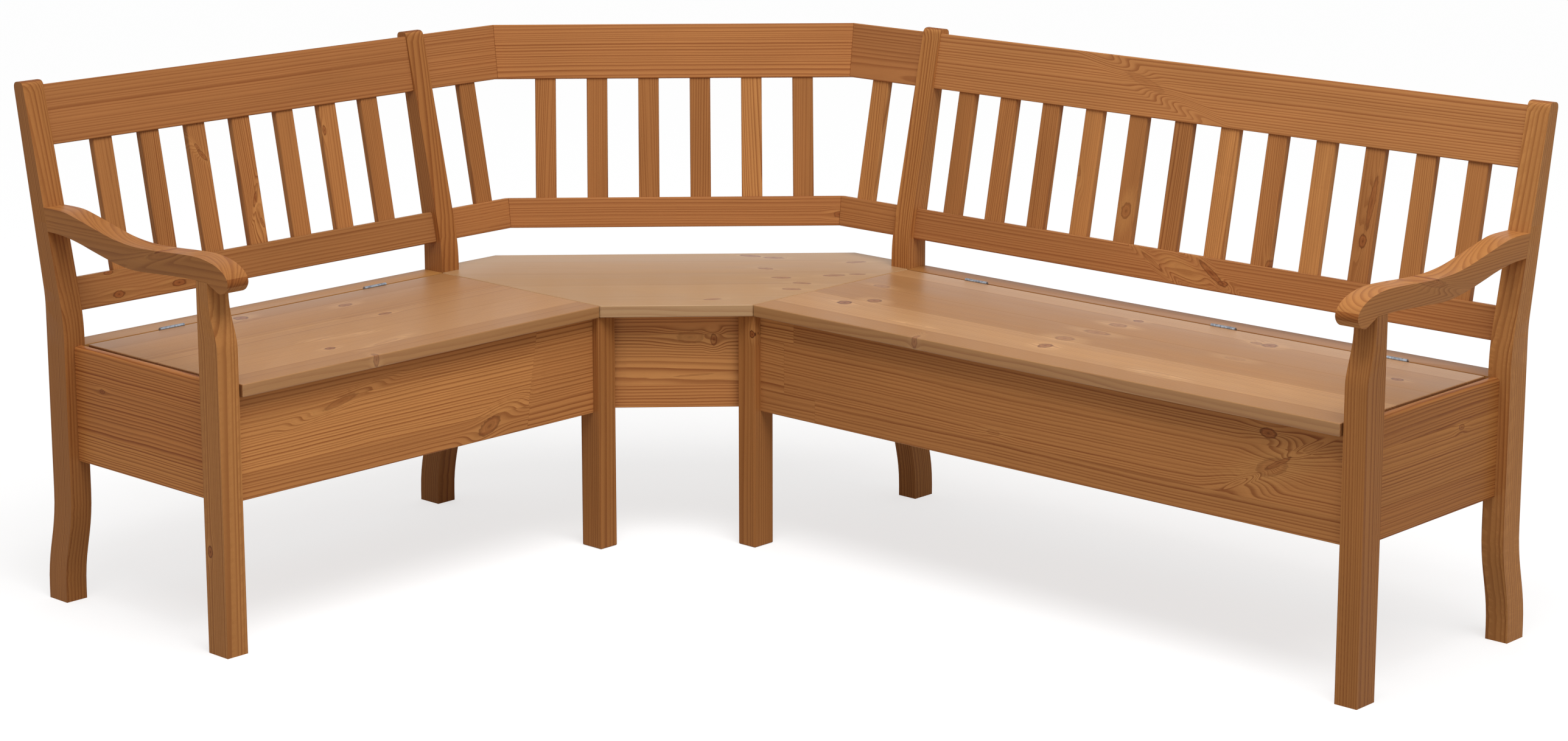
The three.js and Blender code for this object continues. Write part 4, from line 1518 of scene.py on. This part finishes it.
@dataclass(frozen=True)
class Studio:
    """The pale floor, the soft light and the camera."""

    eye: Triple = (3.7792, -4.0226, 1.7657)
    yaw: float = 42.784
    pitch: float = -11.424
    lens: float = 76.453
    shift: tuple[float, float] = (-0.0075, -0.0811)
    sensor: float = 36.0
    sight: float = 300.0
    floor_radius: float = 60.0
    floor_sides: int = 96
    floor_roughness: float = 0.9
    floor_colour: float = 0.46
    floor_bounce: float = 0.50
    floor_lift: float = 0.68
    ambient: float = 0.42
    sky_power: float = 0.9
    sky_angle: float = 38.0
    sky_place: Triple = (2.3, -1.1, 4.2)
    softbox_power: float = 40.0
    softbox_size: float = 1.8
    softbox_place: Triple = (0.85, -0.55, 3.0)

    def build(self) -> None:
        """Builds the camera, the lamps, the world and the floor."""
        scene = bpy.context.scene
        scene.view_settings.view_transform = "Standard"
        camera = bpy.data.cameras.new("photo_camera")
        camera.lens = self.lens
        camera.sensor_fit = "HORIZONTAL"
        camera.sensor_width = self.sensor
        camera.shift_x, camera.shift_y = self.shift
        camera.clip_end = self.sight
        holder = add_object("photo_camera", camera)
        holder.location = self.eye
        holder.rotation_euler = Euler((math.radians(90 + self.pitch), 0, math.radians(self.yaw)))
        scene.camera = holder
        self.sky_light()
        self.softbox()
        self.world()
        self.floor()

    def sky_light(self) -> None:
        """Adds the wide soft light from high up, which reaches the floor evenly."""
        light = bpy.data.lights.new("sky_light", "SUN")
        light.angle = math.radians(self.sky_angle)
        light.energy = self.sky_power
        self.hang(light, self.sky_place, -Vector(self.sky_place))

    def softbox(self) -> None:
        """Hangs the softbox over the middle of the corner, which favours the inner faces."""
        light = bpy.data.lights.new("softbox", "AREA")
        light.shape = "SQUARE"
        light.size = self.softbox_size
        light.energy = self.softbox_power
        self.hang(light, self.softbox_place, -UP)

    @staticmethod
    def hang(light: bpy.types.Light, place: Triple, facing: Vector) -> None:
        """Hangs a light in the scene.

        Args:
            light: The light.
            place: Where it hangs.
            facing: Direction that it shines in.
        """
        holder = add_object(light.name, light)
        holder.location = place
        holder.rotation_euler = facing.to_track_quat("-Z", "Y").to_euler()

    @staticmethod
    def seen(graph: Graph) -> Socket:
        """Tests for rays that show the background: from the camera, in gloss and through glass.

        Args:
            graph: The graph of a material or world.

        Returns:
            1 for such rays, and 0 for all others.
        """
        path = graph.add("ShaderNodeLightPath")
        glossy = graph.math("MAXIMUM", path.outputs["Is Camera Ray"], path.outputs["Is Glossy Ray"])
        return graph.math("MAXIMUM", glossy, path.outputs["Is Transmission Ray"])

    def world(self) -> None:
        """Makes the white surroundings, dimmer as a light than as a background."""
        world = bpy.data.worlds.new("studio")
        bpy.context.scene.world = world
        g = blank_graph(world)
        strength = g.plus(g.times(self.seen(g), 1.0 - self.ambient), self.ambient)
        g.show(g.call("ShaderNodeBackground", {"Color": WHITE, "Strength": strength}), "World")

    def floor(self) -> None:
        """Lays the plain pale floor."""
        form = bmesh.new()
        bmesh.ops.create_circle(form, cap_ends=True, segments=self.floor_sides, radius=self.floor_radius)
        mesh = bpy.data.meshes.new("studio_floor")
        form.to_mesh(mesh)
        form.free()
        material = bpy.data.materials.new("studio_floor")
        g = blank_graph(material)
        seen = self.seen(g)
        pale = g.tint(seen, (*[self.floor_bounce] * 3, 1.0), (*[self.floor_colour] * 3, 1.0))
        g.show(g.call("ShaderNodeBsdfPrincipled", {
            "Base Color": pale, "Roughness": self.floor_roughness, "Specular IOR Level": 0.0,
            "Emission Color": WHITE, "Emission Strength": g.times(seen, self.floor_lift),
        }))
        mesh.materials.append(material)
        floor = add_object("studio_floor", mesh)


# Colour factors for single boards, as shares of red, green and blue: partly each board's own tone, partly
# painted shade and painted light that darken or lighten a board as its faces are lit
BOARD_TONES_AND_PAINTED_LIGHT = {
    "left_end_panel_board": (1.02, 0.98, 0.92),
    "left_front_panel_board": (1.04, 1.04, 1.04),
    "left_hinge_strip_board": (1.06, 1.05, 0.97),
    "left_lid_board": (0.98, 0.97, 0.96),
    "left_lower_rail_board": (0.95, 0.97, 0.97),
    "left_top_rail_board": (0.94, 0.93, 0.92),
    "right_end_panel_board": (0.93, 0.90, 0.83),
    "right_hinge_strip_board": (0.98, 0.94, 0.86),
    "right_top_rail_board": (1.06, 1.08, 1.10),
    "corner_apron_board": (1.06, 1.065, 1.08),
    "corner_top_rail_middle_run": (0.96, 0.94, 0.93),
    "corner_top_rail_right_run": (0.92, 0.90, 0.91),
    "corner_lower_rail_right_run": (0.93, 0.92, 0.92),
}

# Knots of each board, where the real bench has them
LEFT_KNOTS = {
    "end_front_leg": (Knot((-0.5221, -0.7982, 0.1773), (0.010, 0.006), 0.8, through=0.03),),
    "end_panel": (Knot((-0.8346, -0.7782, 0.3932), (0.007, 0.004), 0.6),),
    "arm": (
        Knot((-0.6205, -0.7772, 0.6642), (0.045, 0.007), 0.25, 2.6, 0.2, 14.0),
        Knot((-0.6336, -0.7772, 0.6675), (0.010, 0.0014), 0.8, 3.0, 0.1, 20.0),
    ),
    "lower_rail": (
        Knot((-0.9280, -0.5394, 0.5327), (0.015, 0.006), 0.7),
        Knot((-0.9285, -0.6683, 0.5318), (0.012, 0.006), 0.7),
        Knot((-0.9364, -0.6833, 0.5717), (0.010, 0.004), 0.6),
    ),
    "lid": (
        Knot((-0.8790, -0.4452, 0.46), (0.0132, 0.0126), 0.8, 3.0, 0.9),
        Knot((-0.8257, -0.2497, 0.46), (0.0143, 0.0090), 0.7, 3.0, 0.8),
        Knot((-0.7189, -0.2470, 0.46), (0.0132, 0.0072), 0.7, 3.0, 0.8),
        Knot((-0.5784, -0.4879, 0.46), (0.0099, 0.0072), 0.9, 3.0, 0.8),
        Knot((-0.6371, -0.4180, 0.46), (0.0330, 0.0090), 0.12, 2.4, 1.0, 12.0),
        Knot((-0.5458, -0.3910, 0.46), (0.0330, 0.0090), 0.12, 2.4, 1.0, -14.0),
        Knot((-0.4808, -0.4677, 0.452), (0.006, 0.020), 0.5, 2.6, 0.4, 8.0, through=0.012),
    ),
    "front_panel": (
        Knot((-0.5008, -0.1961, 0.2805), (0.027, 0.013), 0.55, 2.8, 0.4, 24.0),
        Knot((-0.5008, -0.5318, 0.3870), (0.036, 0.006), 0.3, 2.8, 0.3, 12.0),
    ),
    "slats": (
        Knot((4.186, 0.004, 0.0), (0.013, 0.004), 0.6, 3.4, 0.6, -38.0),
        Knot((4.200, -0.004, 0.0), (0.009, 0.003), 0.5, 2.6, 0.4, -30.0),
        Knot((6.066, 0.009, 0.0), (0.018, 0.008), 0.2, 3.6, 0.8, 12.0),
        Knot((6.092, 0.004, 0.0), (0.014, 0.003), 0.6, 2.8, 0.2, 20.0),
        Knot((6.048, 0.013, 0.0), (0.010, 0.003), 0.6, 2.8, 0.2, -14.0),
        Knot((10.196, -0.015, 0.0), (0.009, 0.004), 0.7, 3.0, 0.2),
    ),
}
RIGHT_KNOTS = {
    "inner_front_leg": (Knot((-0.2904, 0.2578, 0.4036), (0.007, 0.03), 1.0, 2.6, 0.6, through=0.0055),),
    "arm": (
        Knot((1.0042, 0.4302, 0.6642), (0.045, 0.007), 0.25, 2.6, 0.2, 14.0),
        Knot((1.0042, 0.4430, 0.6675), (0.010, 0.0014), 0.8, 3.0, 0.1, 20.0),
    ),
    "lid": (
        Knot((-0.1756, 0.3816, 0.46), (0.0132, 0.0126), 1.0, 3.0, 0.6),
        Knot((-0.1455, 0.4296, 0.46), (0.0132, 0.0126), 0.75, 3.0, 1.0),
        Knot((-0.2183, 0.5328, 0.46), (0.0176, 0.0090), 0.45, 3.0, 0.5),
        Knot((0.3076, 0.3595, 0.46), (0.0121, 0.0144), 0.8, 3.0, 1.0),
        Knot((0.2983, 0.4253, 0.46), (0.0176, 0.0144), 0.45, 3.0, 1.0),
        Knot((0.3112, 0.4999, 0.46), (0.0264, 0.0108), 0.45, 2.6, 0.9),
        Knot((0.3042, 0.5705, 0.46), (0.0176, 0.0108), 0.55, 3.0, 0.9),
        Knot((0.3101, 0.6214, 0.46), (0.0099, 0.0072), 0.8, 3.0, 0.6),
        Knot((0.0380, 0.3300, 0.46), (0.0220, 0.0090), 0.15, 2.6, 0.9),
        Knot((0.5903, 0.6224, 0.46), (0.0132, 0.0126), 0.8, 3.0, 0.9),
        Knot((0.5628, 0.6220, 0.46), (0.0110, 0.0072), 0.5, 3.0, 0.8),
        Knot((0.6033, 0.5015, 0.46), (0.0198, 0.0090), 0.2, 3.0, 0.7),
        Knot((0.5736, 0.3235, 0.46), (0.0242, 0.0108), 0.12, 3.0, 1.0),
        Knot((0.8862, 0.5623, 0.46), (0.0110, 0.0072), 0.9, 3.0, 0.6),
        Knot((0.1020, 0.2538, 0.453), (0.006, 0.022), 0.5, 2.6, 0.4, -10.0, through=0.012),
    ),
    "lower_rail": (
        Knot((0.2750, 0.7055, 0.5500), (0.030, 0.0040), 0.3, 3.0, 0.4, -30.0),
        Knot((0.3450, 0.7045, 0.5450), (0.020, 0.0090), 0.05, 3.0, 1.0, -20.0),
        Knot((0.4050, 0.7045, 0.5480), (0.034, 0.0055), 0.6, 3.0, 0.4, -32.0),
        Knot((0.4330, 0.7020, 0.5330), (0.011, 0.0045), 0.7, 3.0, 0.3),
    ),
    "top_rail": (Knot((0.2050, 0.7665, 0.8620), (0.045, 0.0080), 0.15, 3.0, 0.0, -18.0),),
    "front_panel": (
        Knot((0.8407, 0.2738, 0.3596), (0.030, 0.014), 0.3, 3.4, 0.9, 20.0),
        Knot((0.8520, 0.2738, 0.3680), (0.028, 0.004), 0.6, 3.0, 0.2, 30.0),
        Knot((0.8318, 0.2738, 0.4144), (0.016, 0.008), 0.75, 3.0, 0.5),
        Knot((0.2651, 0.2738, 0.3146), (0.014, 0.004), 0.25),
    ),
    "end_panel": (Knot((1.0052, 0.5712, 0.3984), (0.008, 0.005), 0.5),),
    "slats": (
        Knot((6.130, -0.019, 0.0), (0.012, 0.006), 0.3, 3.6, 0.5, -20.0),
        Knot((8.070, 0.001, 0.0), (0.015, 0.010), 0.5, 3.0, 0.9, 10.0),
        Knot((14.013, 0.019, 0.0), (0.012, 0.006), 0.5),
        Knot((18.083, 0.001, 0.0), (0.012, 0.007), 0.7, 3.0, 0.2),
        Knot((18.150, 0.008, 0.0), (0.045, 0.006), 0.5, 2.4, 0.1, 5.0),
    ),
}
CORNER_KNOTS = {
    "corner_seat": tuple(
        Knot((x, y, 0.46), (0.015 * size, 0.0062 * size), 0.7, 2.6, 0.6, tilt)
        for x, y, size, tilt in (
            (-0.4871, 0.5028, 1.0, 20), (-0.4082, 0.4624, 1.2, 8), (-0.5460, 0.5878, 1.3, 12),
            (-0.5912, 0.5703, 1.4, 24), (-0.3498, 0.5449, 1.3, -6), (-0.3239, 0.5833, 1.0, 4),
            (-0.4011, 0.6649, 1.2, -8), (-0.3463, 0.4527, 1.1, 16), (-0.3244, 0.4006, 1.2, 10),
            (-0.3714, 0.2384, 1.0, -12),
        )
    ),
    "corner_apron": (
        Knot((-0.4001, 0.2085, 0.3894), (0.024, 0.011), 0.2, 2.6, 0.8),
        Knot((-0.3694, 0.2392, 0.3844), (0.006, 0.011), 0.6, 3.0, 0.3),
        Knot((-0.3956, 0.2130, 0.3179), (0.034, 0.0016), 0.35, 2.2, 0.1, 4.0),
    ),
    "corner_lower_rail_middle_run": (Knot((-0.4785, 0.7018, 0.5386), (0.010, 0.006), 0.5),),
}


def main() -> None:
    """Builds the bench, sub-assembly by sub-assembly, and sets up the studio."""
    logging.basicConfig(level=logging.INFO, format="%(name)s: %(message)s")
    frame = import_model()
    Studio().build()
    shops = Shops(
        WoodShop(frame["nodes"], Grain(), BOARD_TONES_AND_PAINTED_LIGHT), RepeatShop(),
        HINGE_ZINC.material("hinge_zinc_plated"), SCREW_ZINC.material("screw_zinc_plated"),
    )
    seat_low, seat_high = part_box("corner_seat")
    corner = Vector((seat_low.x, seat_high.y, 0.0))
    benches = (
        Bench(
            shops, corner, Side.LEFT, slat_count=7, hinge_count=2, knots=LEFT_KNOTS,
            panel_finish=LEFT_PANEL_FINISH,
        ),
        Bench(shops, corner, Side.RIGHT, slat_count=12, hinge_count=3, knots=RIGHT_KNOTS),
    )
    for bench in benches:
        bench.build()
    CornerUnit(shops, corner, CORNER_KNOTS).build()


if __name__ == "__main__":
    main()
